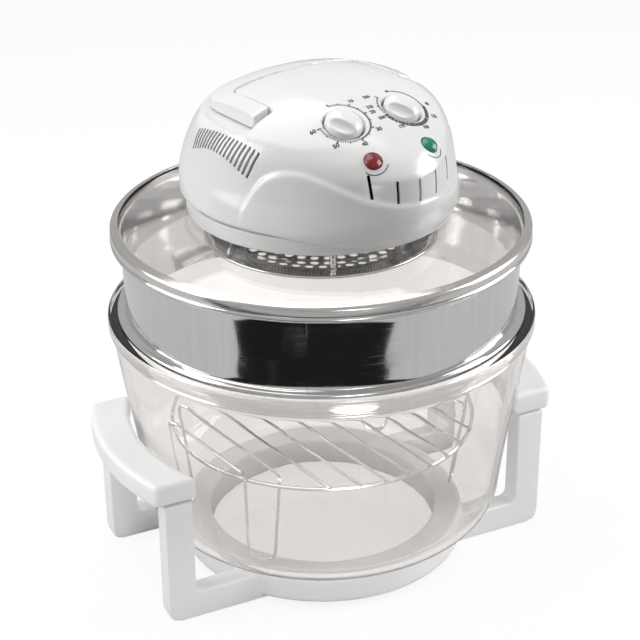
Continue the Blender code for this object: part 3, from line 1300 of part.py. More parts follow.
def make_controls():
    make_knob("timer_knob", -1, "timer_unit")
    make_knob("temperature_knob", 1, "thermostat_unit")
    make_lens("power_lamp_lens", -1, (0.55, 0.02, 0.02))
    make_lens("heat_lamp_lens", 1, (0.02, 0.35, 0.2))
    glass = material("bulb_glass", (0.9, 0.5, 0.2), 0.1)
    top = -LENS_DEPTH - GAP
    for name, side in (("power_lamp_bulb", -1), ("heat_lamp_bulb", 1)):
        finish_part(rod(name, BULB_RADIUS, top - BULB_LENGTH, top, 0, 0, 12, lens_frame(side)), glass)


# Carry handle, its pins, the safety switch and the inlet

def pin_frame(side):
    """The handle's axis in the head, with Z running out to one side."""
    place_on_axis = Matrix.Translation((0, -HANDLE_PIVOT_FRONT, PIVOT_HEIGHT))
    return place_on_axis @ Matrix.Rotation(side * math.pi / 2, 4, "Y")


def make_handle():
    outer_front = -HANDLE_PIVOT_FRONT - HANDLE_HEIGHT / 2
    inner_half = PLATFORM_HALF_WIDTH + HANDLE_CLEARANCE
    inner_rear = PLATFORM_REAR + HANDLE_CLEARANCE
    outer = rounded([(HANDLE_HALF_WIDTH, outer_front, 0), (HANDLE_HALF_WIDTH, HANDLE_REAR, 0),
                     (-HANDLE_HALF_WIDTH, HANDLE_REAR, 0), (-HANDLE_HALF_WIDTH, outer_front, 0)],
                    HANDLE_CORNER, 8)
    inner = rounded([(-inner_half, outer_front, 0), (-inner_half, inner_rear, 0), (inner_half, inner_rear, 0),
                     (inner_half, outer_front, 0)], PLATFORM_CORNER + HANDLE_CLEARANCE, 4)
    points = [(point.x, point.y) for point in outer + inner]
    handle = outline_solid("carry_handle", points, HANDLE_HEIGHT, UPPER @ Matrix.Translation((0, 0, HANDLE_BOTTOM)))
    half = HANDLE_HEIGHT / 2
    end = [(-HANDLE_PIVOT_FRONT - half * math.cos(angle), PIVOT_HEIGHT - half * math.sin(angle))
           for angle in (math.pi / 2 * (1 - step / 5) for step in range(11))]
    rear = HANDLE_REAR + OVERRUN
    side_view = [(rear, HANDLE_BOTTOM), *end, (rear, HANDLE_BOTTOM + HANDLE_HEIGHT)]
    half_width = HANDLE_HALF_WIDTH + OVERRUN
    boolean(handle, outline_solid("handle_side_view", side_view, 2 * half_width, across_head(half_width)), "INTERSECT")
    bake(handle)
    boolean(handle, head_form("handle_dome", -HANDLE_PROUD), "INTERSECT")
    bake(handle)
    bevel(handle, HANDLE_EDGE, 1, math.radians(50))
    bake(handle)
    holes = bmesh.new()
    for side in (1, -1):
        add_rod(holes, PIN_RADIUS + GAP, PLATFORM_HALF_WIDTH - OVERRUN,
                PLATFORM_HALF_WIDTH + PIN_REACH + RUNNING_GAP, 0, 0, BORE_SIDES, pin_frame(side))
    boolean(handle, mesh_object("handle_holes", holes, UPPER))
    finish_part(bake(handle), material("handle_plastic", WHITE, 0.22))
    steel = material("pin_steel", STEEL, 0.3, 1.0)
    seat = PLATFORM_HALF_WIDTH - HEAD_WALL - GAP
    sizes = (PIN_RADIUS, HEAD_WALL + GAP + PIN_REACH, PIN_HEAD_RADIUS, PIN_HEAD)
    for name, side in (("handle_pin_left", -1), ("handle_pin_right", 1)):
        screw(name, (0, 0), seat, 1, sizes, steel, UPPER @ pin_frame(side))


def make_switch():
    top = SHELF_HEIGHT - HEAD_WALL - GAP
    width, length, depth = SWITCH_SIZE
    switch = box("safety_switch", (-SWITCH_SIDE - width / 2, -SWITCH_FRONT - length / 2, top - depth),
                 (-SWITCH_SIDE + width / 2, -SWITCH_FRONT + length / 2, top), UPPER)
    boolean(switch, rod("switch_bore", PLUNGER_RADIUS + GAP, top - PLUNGER_BELOW, top + OVERRUN,
                        -SWITCH_SIDE, -SWITCH_FRONT, 12, UPPER))
    finish_part(bake(switch), material("switch_case", DARK, 0.5), False)
    plunger = rod("switch_plunger", PLUNGER_RADIUS, top - PLUNGER_BELOW + RUNNING_GAP, SHELF_HEIGHT,
                  -SWITCH_SIDE, -SWITCH_FRONT, 12, UPPER)
    finish_part(plunger, material("plunger_plastic", (0.6, 0.1, 0.08), 0.4))


def make_inlet():
    width, height, depth = INLET_SIZE
    wall_place = abs(head_point(math.pi, INLET_HEIGHT).y)
    outer = wall_place + INLET_PROUD
    inlet = box("power_inlet", (-width / 2, outer - depth, INLET_HEIGHT - height / 2),
                (width / 2, outer, INLET_HEIGHT + height / 2), UPPER)
    boolean(inlet, box("inlet_cup", (-width / 2 + INLET_CUP_WALL, outer - INLET_CUP_DEPTH,
                                     INLET_HEIGHT - height / 2 + INLET_CUP_WALL),
                       (width / 2 - INLET_CUP_WALL, outer + OVERRUN, INLET_HEIGHT + height / 2 - INLET_CUP_WALL),
                       UPPER))
    floor = outer - INLET_CUP_DEPTH
    for x in (-INLET_PIN_SPACING / 2, INLET_PIN_SPACING / 2):
        frame = Matrix.Translation((x, 0, INLET_HEIGHT)) @ Matrix.Rotation(-math.pi / 2, 4, "X")
        pin = rod("inlet_pin", INLET_PIN_RADIUS, floor - INLET_CUP_WALL, floor + INLET_PIN_LENGTH, 0, 0, 12,
                  UPPER @ frame)
        boolean(inlet, pin, "UNION")
    finish_part(bake(inlet), material("inlet_plastic", DARK, 0.4), False)


make_stand()
make_bowl()
make_rack()
make_ring()
make_lid()
make_plates()
make_head_base()
make_guard()
make_lamp()
make_motor()
make_rotor()
make_cover()
make_controls()
make_handle()
make_switch()
make_inlet()

for leftover in list(CUTTERS.objects):
    leftover.hide_render = True
    leftover.display_type = "WIRE"
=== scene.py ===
import math

import bmesh
import bpy
from mathutils import Matrix, Vector
from mathutils.bvhtree import BVHTree


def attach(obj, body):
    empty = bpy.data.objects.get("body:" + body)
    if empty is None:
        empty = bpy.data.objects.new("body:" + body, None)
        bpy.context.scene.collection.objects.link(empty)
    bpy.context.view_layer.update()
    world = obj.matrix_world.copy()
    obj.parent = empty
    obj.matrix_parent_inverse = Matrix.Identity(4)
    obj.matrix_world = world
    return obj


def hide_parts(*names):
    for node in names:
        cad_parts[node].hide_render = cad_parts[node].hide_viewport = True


# Camera: the photograph looks down on the oven from its front left

CAMERA_SIDE = math.radians(25.77)
CAMERA_DOWN = math.radians(26.92)
CAMERA_ROLL = math.radians(-0.37)
CAMERA_DISTANCE = 1.3874
CAMERA_LENS = 96.88
CAMERA_SHIFT = 0.01342
LOOK_AT = (0.0, 0.0, 0.18799)
LOOK_ASIDE = -0.00131


def make_camera():
    back = Vector((-math.sin(CAMERA_SIDE) * math.cos(CAMERA_DOWN),
                   -math.cos(CAMERA_SIDE) * math.cos(CAMERA_DOWN), math.sin(CAMERA_DOWN)))
    right = Vector((math.cos(CAMERA_SIDE), -math.sin(CAMERA_SIDE), 0.0))
    up = back.cross(right)
    across = right * math.cos(CAMERA_ROLL) + up * math.sin(CAMERA_ROLL)
    upward = up * math.cos(CAMERA_ROLL) - right * math.sin(CAMERA_ROLL)
    where = Vector(LOOK_AT) + right * LOOK_ASIDE + back * CAMERA_DISTANCE
    bpy.ops.object.camera_add()
    camera = bpy.context.active_object
    camera.name = "photo_camera"
    turn = Matrix((across, upward, back)).transposed().to_4x4()
    camera.matrix_world = Matrix.Translation(where) @ turn
    camera.data.lens = CAMERA_LENS
    camera.data.sensor_width = 36.0
    camera.data.shift_y = CAMERA_SHIFT
    camera.data.clip_end = 20.0
    bpy.context.scene.camera = camera


make_camera()
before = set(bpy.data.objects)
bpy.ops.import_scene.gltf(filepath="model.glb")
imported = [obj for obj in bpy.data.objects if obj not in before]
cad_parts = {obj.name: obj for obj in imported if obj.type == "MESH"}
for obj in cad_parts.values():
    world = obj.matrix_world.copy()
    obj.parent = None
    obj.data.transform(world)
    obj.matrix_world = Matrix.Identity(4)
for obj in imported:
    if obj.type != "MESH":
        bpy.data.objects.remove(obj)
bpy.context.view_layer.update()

# Lengths below are in millimetres. The head and the rack stand turned against the stand
MM = 0.001
HEAD_TURN = Matrix.Rotation(math.radians(11.3), 4, "Z")


# Places

def moved(x, y, z):
    return Matrix.Translation((x * MM, y * MM, z * MM))


def turned(angle, axis="Z"):
    return Matrix.Rotation(math.radians(angle), 4, axis)


def around(radius, angles):
    """Places on a circle, in degrees from the front to the right."""
    turns = [math.radians(angle) for angle in angles]
    return [(radius * math.sin(turn), -radius * math.cos(turn)) for turn in turns]


def four(x, y):
    """A place mirrored to both sides and both ends."""
    return [(-x, -y), (-x, y), (x, -y), (x, y)]


def oblong(half, low, high):
    """The corners of an outline as wide to the left as to the right."""
    return [(-half, low), (half, low), (half, high), (-half, high)]


def arc(x, z, radius, start, end, steps=6, tall=None):
    """Points on an arc, in degrees from +X towards +Z."""
    tall = radius if tall is None else tall
    turns = [math.radians(start + (end - start) * step / steps) for step in range(steps + 1)]
    return [(x + radius * math.cos(turn), z + tall * math.sin(turn)) for turn in turns]


def flowing(points, steps):
    """A smooth line through the points."""
    ends = [Vector(point) for point in (points[0], *points, points[-1])]
    line = []
    for before, start, end, after in zip(ends, ends[1:], ends[2:], ends[3:]):
        for step in range(steps):
            t = step / steps
            line.append(tuple(0.5 * (2 * start + (end - before) * t
                                     + (2 * before - 5 * start + 4 * end - after) * t * t
                                     + (3 * start - before - 3 * end + after) * t ** 3)))
    return line + [tuple(points[-1])]


def rounded(points, radius, steps=5, closed=True):
    """A line in space with its corners bent round."""
    line = []
    for index, point in enumerate(points):
        corner = Vector(point)
        if not closed and index in (0, len(points) - 1):
            line.append(corner)
            continue
        before = Vector(points[index - 1]) - corner
        after = Vector(points[(index + 1) % len(points)]) - corner
        reach = min(radius, before.length * 0.45, after.length * 0.45)
        start, end = corner + before.normalized() * reach, corner + after.normalized() * reach
        for step in range(steps + 1):
            t = step / steps
            line.append(start * (1 - t) ** 2 + corner * 2 * t * (1 - t) + end * t ** 2)
    return line


def corners(points, radius, steps=5, closed=True):
    """A flat outline with its corners bent round."""
    line = rounded([(x, y, 0) for x, y in points], radius, steps, closed)
    return [(point.x, point.y) for point in line]


# Modelling steps

def clear_selection():
    if bpy.context.mode != "OBJECT":
        bpy.ops.object.mode_set(mode="OBJECT")
    bpy.ops.object.select_all(action="DESELECT")


def only(item):
    clear_selection()
    item.select_set(True)
    bpy.context.view_layer.objects.active = item
    return item


def named(name):
    item = bpy.context.active_object
    item.name = name
    item.data.name = name
    return item


def edit_all(item):
    only(item)
    bpy.ops.object.mode_set(mode="EDIT")
    bpy.ops.mesh.select_all(action="SELECT")


def face_outwards():
    """Ends an edit with every face looking out of the piece."""
    bpy.ops.mesh.select_all(action="SELECT")
    bpy.ops.mesh.normals_make_consistent(inside=False)
    bpy.ops.object.mode_set(mode="OBJECT")


def put(item, matrix=Matrix()):
    """Places a finished shape and takes the place into its mesh."""
    only(item)
    item.matrix_world = matrix @ item.matrix_world
    bpy.ops.object.transform_apply(location=True, rotation=True, scale=True)
    return item


def tidy_mesh(item, merge=1e-6):
    edit_all(item)
    bpy.ops.mesh.remove_doubles(threshold=merge)
    face_outwards()
    return item


def smooth(item, angle=35):
    only(item)
    bpy.ops.object.shade_smooth_by_angle(angle=math.radians(angle))
    return item


def trace(name, points):
    """A closed outline drawn out corner from corner, as (x, z)."""
    clear_selection()
    places = [Vector((x * MM, 0.0, z * MM)) for x, z in points]
    bpy.ops.mesh.primitive_plane_add(size=0.01)
    item = named(name)
    edit_all(item)
    bpy.ops.mesh.merge(type="CENTER")
    bpy.ops.transform.translate(value=places[0])
    for before, after in zip(places, places[1:]):
        bpy.ops.mesh.extrude_vertices_move(TRANSFORM_OT_translate={"value": after - before})
    mesh = bmesh.from_edit_mesh(item.data)
    mesh.verts.ensure_lookup_table()
    for vertex in mesh.verts:
        vertex.select_set(vertex.index in (0, len(places) - 1))
    mesh.select_flush(True)
    bmesh.update_edit_mesh(item.data)
    bpy.ops.mesh.edge_face_add()
    bpy.ops.mesh.select_all(action="SELECT")
    return item


def spun(name, points, steps, angle=35):
    """A profile spun about the upright axis."""
    item = trace(name, points)
    bpy.ops.mesh.spin(steps=steps, angle=math.tau, center=(0, 0, 0), axis=(0, 0, 1))
    return smooth(tidy_mesh(item, 2e-6), angle)


def block(name, points, thickness, place=Matrix()):
    """An outline in XZ filled and extruded towards the rear, then placed."""
    item = trace(name, points)
    bpy.ops.mesh.edge_face_add()
    bpy.ops.mesh.select_all(action="SELECT")
    bpy.ops.mesh.extrude_region_move(TRANSFORM_OT_translate={"value": (0, thickness * MM, 0)})
    return put(tidy_mesh(item), place)


def flat_block(name, points, low, high):
    """An outline seen from above, as (right, rear), standing between two levels."""
    return block(name, points, high - low, moved(0, 0, high) @ turned(-90, "X"))


def side_block(name, points, length):
    """An outline seen from the side, as (rear, up), reaching as far to the left as to the right."""
    return block(name, points, length, turned(90) @ moved(0, -length / 2, 0))


def rod(name, radius, low, high, place=(0, 0), sides=16, base=Matrix()):
    """A round tool standing between two levels over a base."""
    clear_selection()
    bpy.ops.mesh.primitive_cylinder_add(vertices=sides, radius=radius * MM, depth=(high - low) * MM,
                                        location=(place[0] * MM, place[1] * MM, (low + high) / 2 * MM))
    return put(named(name), base)


def cross_rod(name, radius, length, middle, sides=20):
    """A round tool lying from side to side about its middle."""
    clear_selection()
    bpy.ops.mesh.primitive_cylinder_add(vertices=sides, radius=radius * MM, depth=length * MM,
                                        rotation=(0, math.pi / 2, 0), location=[way * MM for way in middle])
    return put(named(name))


def wire_path(name, points, thick, closed=False):
    """A bent wire drawn through points."""
    clear_selection()
    bpy.ops.curve.primitive_nurbs_path_add()
    item = named(name)
    item.data.splines.clear()
    spline = item.data.splines.new("POLY")
    spline.points.add(len(points) - 1)
    for point, place in zip(spline.points, points):
        point.co = (place[0] * MM, place[1] * MM, place[2] * MM, 1.0)
    spline.use_cyclic_u = closed
    item.data.dimensions = "3D"
    item.data.bevel_depth = thick * MM
    item.data.bevel_resolution = 3
    item.data.use_fill_caps = not closed
    only(item)
    bpy.ops.object.convert(target="MESH")
    return tidy_mesh(bpy.context.active_object)


def apply_modifier(item, kind, **settings):
    only(item)
    bpy.ops.object.modifier_add(type=kind)
    made = item.modifiers[-1]
    for key, value in settings.items():
        setattr(made, key, value)
    bpy.ops.object.modifier_apply(modifier=made.name)
    return item


def cut(item, tool, operation="DIFFERENCE", solver="MANIFOLD"):
    """Works a tool on a piece and takes the tool away."""
    apply_modifier(item, "BOOLEAN", operation=operation, solver=solver, object=tool)
    bpy.data.objects.remove(tool)
    return item


def bevel(item, width, segments, angle):
    return apply_modifier(item, "BEVEL", width=width * MM, segments=segments, limit_method="ANGLE",
                          angle_limit=math.radians(angle))


def join(name, items):
    only(items[0])
    for item in items[1:]:
        item.select_set(True)
    if len(items) > 1:
        bpy.ops.object.join()
    return named(name)


def copy_to(item, name, matrix):
    """A second piece with a mesh of its own, moved by the matrix."""
    only(item)
    bpy.ops.object.duplicate()
    return put(named(name), matrix)


def soften(item, grain, rounds, factor=0.5):
    """Runs the mesh into an even skin and rubs its edges soft, as a mould leaves them."""
    apply_modifier(item, "REMESH", mode="VOXEL", voxel_size=grain * MM, adaptivity=0.0)
    apply_modifier(item, "SMOOTH", factor=factor, iterations=rounds)
    return smooth(item, 60)


def true_surface(item):
    """The surface of a piece as it is now, to lay other meshes on later."""
    mesh = bmesh.new()
    mesh.from_mesh(item.data)
    tree = BVHTree.FromBMesh(mesh)
    mesh.free()
    return tree


def settle(skin, truth, near=0.22, far=0.75):
    """Lays the open stretches of a rubbed mesh back on the true surface and leaves its rounded edges."""
    for vertex in skin.data.vertices:
        place, _, _, gap = truth.find_nearest(vertex.co)
        share = 1 - min(max((gap / MM - near) / (far - near), 0.0), 1.0)
        vertex.co = vertex.co.lerp(place, share * share * (3 - 2 * share))
    skin.data.update()


def finished(item, body, slot, paint, *nodes):
    """Gives a piece its finish, its body and the solids it stands for."""
    only(item)
    item.data.materials.clear()
    item.data.materials.append(paint)
    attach(item, body)
    if nodes:
        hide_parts(*nodes)
    return item


# Shared finishes

def wire_up(tree, *pairs):
    for start, end in pairs:
        tree.links.new(start, end)


def fill(made, **settings):
    """Sets a node's sockets and options. An underscore stands for the space in a socket's name."""
    for key, value in settings.items():
        socket = key.replace("_", " ")
        if socket in made.inputs:
            made.inputs[socket].default_value = value
        else:
            setattr(made, key, value)
    return made


def node(tree, kind, **settings):
    return fill(tree.nodes.new("ShaderNode" + kind), **settings)


def noise(tree, place, scale, detail=3.0, roughness=0.55):
    made = node(tree, "TexNoise", Scale=scale, Detail=detail, Roughness=roughness)
    wire_up(tree, (place, made.inputs["Vector"]))
    return made.outputs["Fac"]


def spread(tree, value, low, high, to_low=0.0, to_high=1.0):
    made = node(tree, "MapRange", interpolation_type="SMOOTHSTEP", From_Min=low, From_Max=high,
                To_Min=to_low, To_Max=to_high)
    wire_up(tree, (value, made.inputs["Value"]))
    return made.outputs["Result"]


def stretched(tree, x, y, z):
    mapping = node(tree, "Mapping", Scale=(x, y, z))
    wire_up(tree, (node(tree, "TexCoord").outputs["Object"], mapping.inputs["Vector"]))
    return mapping.outputs["Vector"]


def new_group(name, **results):
    """A shared effect. Each result is worked out from the group's tree."""
    group = bpy.data.node_groups.new(name, "ShaderNodeTree")
    for label in results:
        group.interface.new_socket(label, in_out="OUTPUT", socket_type="NodeSocketFloat")
    out = group.nodes.new("NodeGroupOutput")
    for label, result in results.items():
        wire_up(group, (result(group), out.inputs[label]))
    return group


# Smudges from hands and cloths, dust in broad patches, and a fine grain
HANDLING = new_group(
    "handling_marks",
    Smudge=lambda tree: spread(tree, noise(tree, stretched(tree, 1, 1, 1), 34.0, 4.0, 0.62), 0.46, 0.72),
    Dust=lambda tree: spread(tree, noise(tree, stretched(tree, 1, 1, 1), 9.0, 2.0), 0.38, 0.68),
    Grain=lambda tree: noise(tree, stretched(tree, 1, 1, 1), 1400.0, 2.0, 0.5))
# Upright lines from rolling and polishing, slow waves of thin sheet, and hairlines that run round it
ROLLED = new_group(
    "rolled_sheet",
    Lines=lambda tree: noise(tree, stretched(tree, 1, 1, 0.04), 260.0, 3.0, 0.6),
    Waves=lambda tree: noise(tree, stretched(tree, 1, 1, 0.25), 17.0, 2.0, 0.45),
    Hairlines=lambda tree: spread(tree, noise(tree, stretched(tree, 0.06, 0.06, 1), 700.0, 2.0, 0.6),
                                  0.56, 0.74))


def bare_paint(name):
    made = bpy.data.materials.new(name)
    made.use_nodes = True
    made.node_tree.nodes.clear()
    return made, made.node_tree, node(made.node_tree, "OutputMaterial")


def paint_base(name):
    made, tree, out = bare_paint(name)
    surface = node(tree, "BsdfPrincipled")
    wire_up(tree, (surface.outputs["BSDF"], out.inputs["Surface"]))
    return made, tree, surface


def use_group(tree, group):
    made = tree.nodes.new("ShaderNodeGroup")
    made.node_tree = group
    return made.outputs


def blend_colors(tree, share, first, second):
    made = node(tree, "Mix", data_type="RGBA")
    made.inputs[6].default_value = (*first, 1.0)
    made.inputs[7].default_value = (*second, 1.0)
    wire_up(tree, (share, made.inputs["Factor"]))
    return made.outputs[2]


def gloss(tree, marks, low, high):
    """Roughness between a clean and a handled spot."""
    return spread(tree, marks["Smudge"], 0.0, 1.0, low, high)


def raise_by(tree, height, strength, depth, target):
    made = node(tree, "Bump", Strength=strength, Distance=depth)
    wire_up(tree, (height, made.inputs["Height"]), (made.outputs["Normal"], target.inputs["Normal"]))
    return made


def solid(name, color, worn, roughness, metallic=0.0, grain=0.04, coat=0.0):
    """A plastic, metal or rubber whose colour and gloss vary with handling."""
    made, tree, surface = paint_base(name)
    marks = use_group(tree, HANDLING)
    wire_up(tree, (blend_colors(tree, marks["Dust"], color, worn), surface.inputs["Base Color"]),
            (gloss(tree, marks, *roughness), surface.inputs["Roughness"]))
    fill(surface, Metallic=metallic, Coat_Weight=coat, Coat_Roughness=0.05)
    raise_by(tree, marks["Grain"], grain, 0.0002, surface)
    return made


def sheet_steel(name, color, worn, roughness, waves=0.12, lines=0.05):
    """Polished sheet steel with the waves and lines that rolling left in it."""
    made, tree, surface = paint_base(name)
    marks, rolled = use_group(tree, HANDLING), use_group(tree, ROLLED)
    fill(surface, Metallic=1.0)
    total = node(tree, "Math", operation="ADD")
    wire_up(tree, (gloss(tree, marks, *roughness), total.inputs[0]),
            (spread(tree, rolled["Hairlines"], 0.0, 1.0, 0.0, 0.06), total.inputs[1]),
            (total.outputs["Value"], surface.inputs["Roughness"]),
            (blend_colors(tree, rolled["Lines"], color, worn), surface.inputs["Base Color"]))
    fine = raise_by(tree, rolled["Lines"], lines, 0.0003, surface)
    raise_by(tree, rolled["Waves"], waves, 0.004, fine)
    return made


def clear_glass(name, color, worn, shade, roughness=(0.0, 0.03)):
    """Pressed glass, faintly tinted. It lets the light through to what stands behind it."""
    made, tree, surface = paint_base(name)
    marks, rolled = use_group(tree, HANDLING), use_group(tree, ROLLED)
    fill(surface, Transmission_Weight=1.0, IOR=1.47)
    light = node(tree, "LightPath")
    through = node(tree, "Math", operation="MAXIMUM")
    held = node(tree, "Math", operation="MULTIPLY_ADD")
    held.inputs[1].default_value = -shade
    held.inputs[2].default_value = 1.0
    wire_up(tree, (blend_colors(tree, marks["Dust"], color, worn), surface.inputs["Base Color"]),
            (gloss(tree, marks, *roughness), surface.inputs["Roughness"]),
            (light.outputs["Is Shadow Ray"], through.inputs[0]),
            (light.outputs["Is Diffuse Ray"], through.inputs[1]),
            (through.outputs["Value"], held.inputs[0]), (held.outputs["Value"], surface.inputs["Alpha"]))
    raise_by(tree, rolled["Waves"], 0.03, 0.002, surface)
    return made


def lens_plastic(name, deep, face_on_painted_light):
    """Coloured clear plastic, deeper in colour towards its edges. Where it is looked at flat on it is
    painted lighter: painted light for the light seen in the lens's middle.
    """
    made, tree, surface = paint_base(name)
    edge = node(tree, "LayerWeight", Blend=0.35)
    # Painted light: the lens takes its lighter colour where it faces the camera
    wire_up(tree, (blend_colors(tree, edge.outputs["Facing"], face_on_painted_light, deep), surface.inputs["Base Color"]),
            (gloss(tree, use_group(tree, HANDLING), 0.05, 0.12), surface.inputs["Roughness"]))
    fill(surface, Coat_Weight=0.3)
    return made


MOULDED_WHITE = ((0.80, 0.80, 0.795), (0.785, 0.785, 0.775))
HEAD_WHITE = solid("head_white_plastic", *MOULDED_WHITE, (0.2, 0.225), coat=0.3)
HANDLE_WHITE = solid("handle_white_plastic", *MOULDED_WHITE, (0.2, 0.225), coat=0.25)
COLLAR_WHITE = solid("collar_white_plastic", (0.79, 0.79, 0.785), (0.775, 0.775, 0.765), (0.22, 0.245),
                     coat=0.2)
KNOB_WHITE = solid("knob_white_plastic", (0.82, 0.82, 0.815), (0.80, 0.80, 0.79), (0.2, 0.225), coat=0.2)
# The stand's and grips' white is a lighter copy of the moulded white: painted light for the brighter light
# that falls on the stand. Its matt gloss and grain are its own
MATT_WHITE_PAINTED_LIGHTER = ((0.88, 0.88, 0.88), (0.85, 0.85, 0.845))
STAND_WHITE = solid("stand_white_plastic", *MATT_WHITE_PAINTED_LIGHTER, (0.38, 0.5), grain=0.1)
GRIP_WHITE = solid("grip_white_plastic", *MATT_WHITE_PAINTED_LIGHTER, (0.36, 0.48), grain=0.1)
BOWL_GLASS = clear_glass("bowl_tinted_glass", (0.885, 0.858, 0.84), (0.87, 0.843, 0.825), 0.88)
LID_GLASS = clear_glass("lid_tinted_glass", (0.92, 0.905, 0.895), (0.905, 0.89, 0.88), 0.9)
RING_STEEL = sheet_steel("ring_polished_steel", (0.74, 0.735, 0.73), (0.64, 0.635, 0.63), (0.07, 0.13))
BAND_STEEL = sheet_steel("rim_band_steel", (0.72, 0.70, 0.68), (0.62, 0.60, 0.58), (0.16, 0.24), 0.05)
GUARD_CHROME = sheet_steel("guard_chromed_steel", (0.76, 0.76, 0.76), (0.66, 0.66, 0.66), (0.08, 0.16),
                           0.06)
PLATE_STEEL = sheet_steel("plate_zinc_steel", (0.62, 0.62, 0.61), (0.5, 0.5, 0.49), (0.28, 0.42), 0.04, 0.2)
RACK_CHROME = solid("rack_chromed_wire", (0.72, 0.71, 0.70), (0.6, 0.59, 0.58), (0.14, 0.3), 1.0)
SCREW_STEEL = solid("screw_zinc_steel", (0.6, 0.6, 0.58), (0.46, 0.45, 0.43), (0.26, 0.44), 1.0)
CORE_STEEL = solid("core_stamped_steel", (0.34, 0.34, 0.35), (0.25, 0.25, 0.26), (0.35, 0.55), 1.0)
COIL_COPPER = solid("coil_enamelled_copper", (0.66, 0.28, 0.12), (0.5, 0.2, 0.09), (0.28, 0.42), 0.8)
FAN_METAL = solid("fan_pressed_aluminium", (0.74, 0.74, 0.75), (0.62, 0.62, 0.63), (0.3, 0.44), 1.0)
SEAL_RUBBER = solid("seal_silicone", (0.56, 0.55, 0.53), (0.48, 0.47, 0.45), (0.6, 0.78), grain=0.3)
CERAMIC = solid("holder_ceramic", (0.82, 0.79, 0.72), (0.7, 0.66, 0.58), (0.5, 0.7), grain=0.3)
CASE_GREY = solid("control_case", (0.5, 0.5, 0.46), (0.4, 0.4, 0.37), (0.42, 0.6), 0.3)
BLACK_PLASTIC = solid("black_moulded_plastic", (0.028, 0.028, 0.03), (0.05, 0.05, 0.05), (0.34, 0.5),
                      grain=0.2)
PLUNGER_RED = solid("plunger_plastic", (0.5, 0.07, 0.05), (0.4, 0.06, 0.045), (0.32, 0.45))
MARK_INK = solid("printed_ink", (0.045, 0.045, 0.05), (0.08, 0.08, 0.085), (0.4, 0.55), grain=0.1)
QUARTZ = clear_glass("lamp_quartz", (0.95, 0.94, 0.92), (0.9, 0.89, 0.87), 0.8, (0.12, 0.3))
BULB_GLASS = clear_glass("bulb_glass", (0.95, 0.72, 0.45), (0.9, 0.65, 0.4), 0.6, (0.02, 0.1))
TUNGSTEN = solid("lamp_filament", (0.3, 0.29, 0.28), (0.2, 0.19, 0.18), (0.4, 0.55), 1.0)
# Each lens's second colour is painted light, the lighter colour it shows where it is looked at flat on
RED_LENS = lens_plastic("power_lens_red", (0.07, 0.002, 0.002), (0.25, 0.009, 0.008))
GREEN_LENS = lens_plastic("heat_lens_green", (0.002, 0.06, 0.035), (0.010, 0.25, 0.155))


# Stand: a ring under the bowl, four bars turned up into posts, and two grips

BASE_INSIDE, BASE_OUTSIDE, BASE_LOW, BASE_HIGH, BASE_EDGE = 94.0, 117.8, 3.0, 27.0, 3.0
BAR_FACE, BAR_DEPTH, BAR_TALL = 73.5, 17.0, 23.0
POST_OUTSIDE = 168.0
POST_INSIDE = POST_OUTSIDE - BAR_TALL
GRIP_LOW, GRIP_TALL = 107.0, 20.0
# Clear gap between pieces that lie on each other
GAP = 0.3
SCREW_SIDE, SCREW_FRONT = POST_OUTSIDE - BAR_TALL / 2, BAR_FACE - BAR_DEPTH / 2


def make_stand():
    round_edge = BASE_OUTSIDE - BASE_EDGE
    stand = spun("stand_frame", [(BASE_INSIDE, BASE_LOW), (round_edge, BASE_LOW)]
                 + arc(round_edge, BASE_LOW + BASE_EDGE, BASE_EDGE, -90, 0, 4)[1:]
                 + arc(round_edge, BASE_HIGH - BASE_EDGE, BASE_EDGE, 0, 90, 4)
                 + [(BASE_INSIDE, BASE_HIGH)], 160)
    start = math.sqrt(((BASE_INSIDE + BASE_OUTSIDE) / 2) ** 2 - BAR_FACE ** 2)
    top = GRIP_LOW - GAP
    bar = block("bar_and_post", [(start, 0.0)] + arc(POST_OUTSIDE - 8, 8, 8, -90, 0, 6)
                + [(POST_OUTSIDE, top), (POST_INSIDE, top)]
                + arc(POST_INSIDE - 6, BAR_TALL + 6, 6, 0, -90, 5) + [(start, BAR_TALL)], BAR_DEPTH)
    for mirror in (1, -1):
        for face in (-BAR_FACE, BAR_FACE - BAR_DEPTH):
            twin = copy_to(bar, "bar_copy", moved(0, face, 0) @ Matrix.Diagonal((mirror, 1, 1, 1)))
            cut(stand, tidy_mesh(twin), "UNION", "EXACT")
    bpy.data.objects.remove(bar)
    soften(stand, 1.5, 6)
    for place in four(SCREW_SIDE, SCREW_FRONT):
        cut(stand, rod("screw_pocket", 4.7, -8.0, 92.0, place, 24))
    finished(smooth(stand, 50), "stand", "stand_white", STAND_WHITE, "stand_base")


def make_grips():
    inner, outer, half = 158.0, 189.0, 73.0
    inner_end, outer_end = (math.degrees(math.asin(half / radius)) for radius in (inner, outer))
    outline = arc(0, 0, outer, -outer_end, outer_end, 24) + arc(0, 0, inner, inner_end, -inner_end, 24)
    grip = flat_block("grip_on_right", outline, GRIP_LOW, GRIP_LOW + GRIP_TALL)
    soften(bevel(grip, 5, 4, 40), 1.3, 6)
    other = copy_to(grip, "grip_on_left", turned(180))
    finished(grip, "stand", "stand_white", GRIP_WHITE, "grip_right")
    finished(other, "stand", "stand_white", GRIP_WHITE, "grip_left")


# Glass bowl: a waisted wall over a rounded bottom

BOWL_FOOT, BOWL_FLAT = 27.3, 52.0
GLASS_WALL = 4.5
CURVE_SIDE, CURVE_LEVEL = 104.0, 60.0
CURVE_REACH, CURVE_DROP = 147.0 - CURVE_SIDE, CURVE_LEVEL - BOWL_FOOT
BOWL_OUTSIDE = ((166.4, 199.0), (165.6, 190.0), (164.0, 178.0), (161.5, 160.0), (158.5, 143.0),
                (155.5, 125.0), (152.9, 107.0), (150.2, 87.0), (148.3, 71.0), (147.0, CURVE_LEVEL))


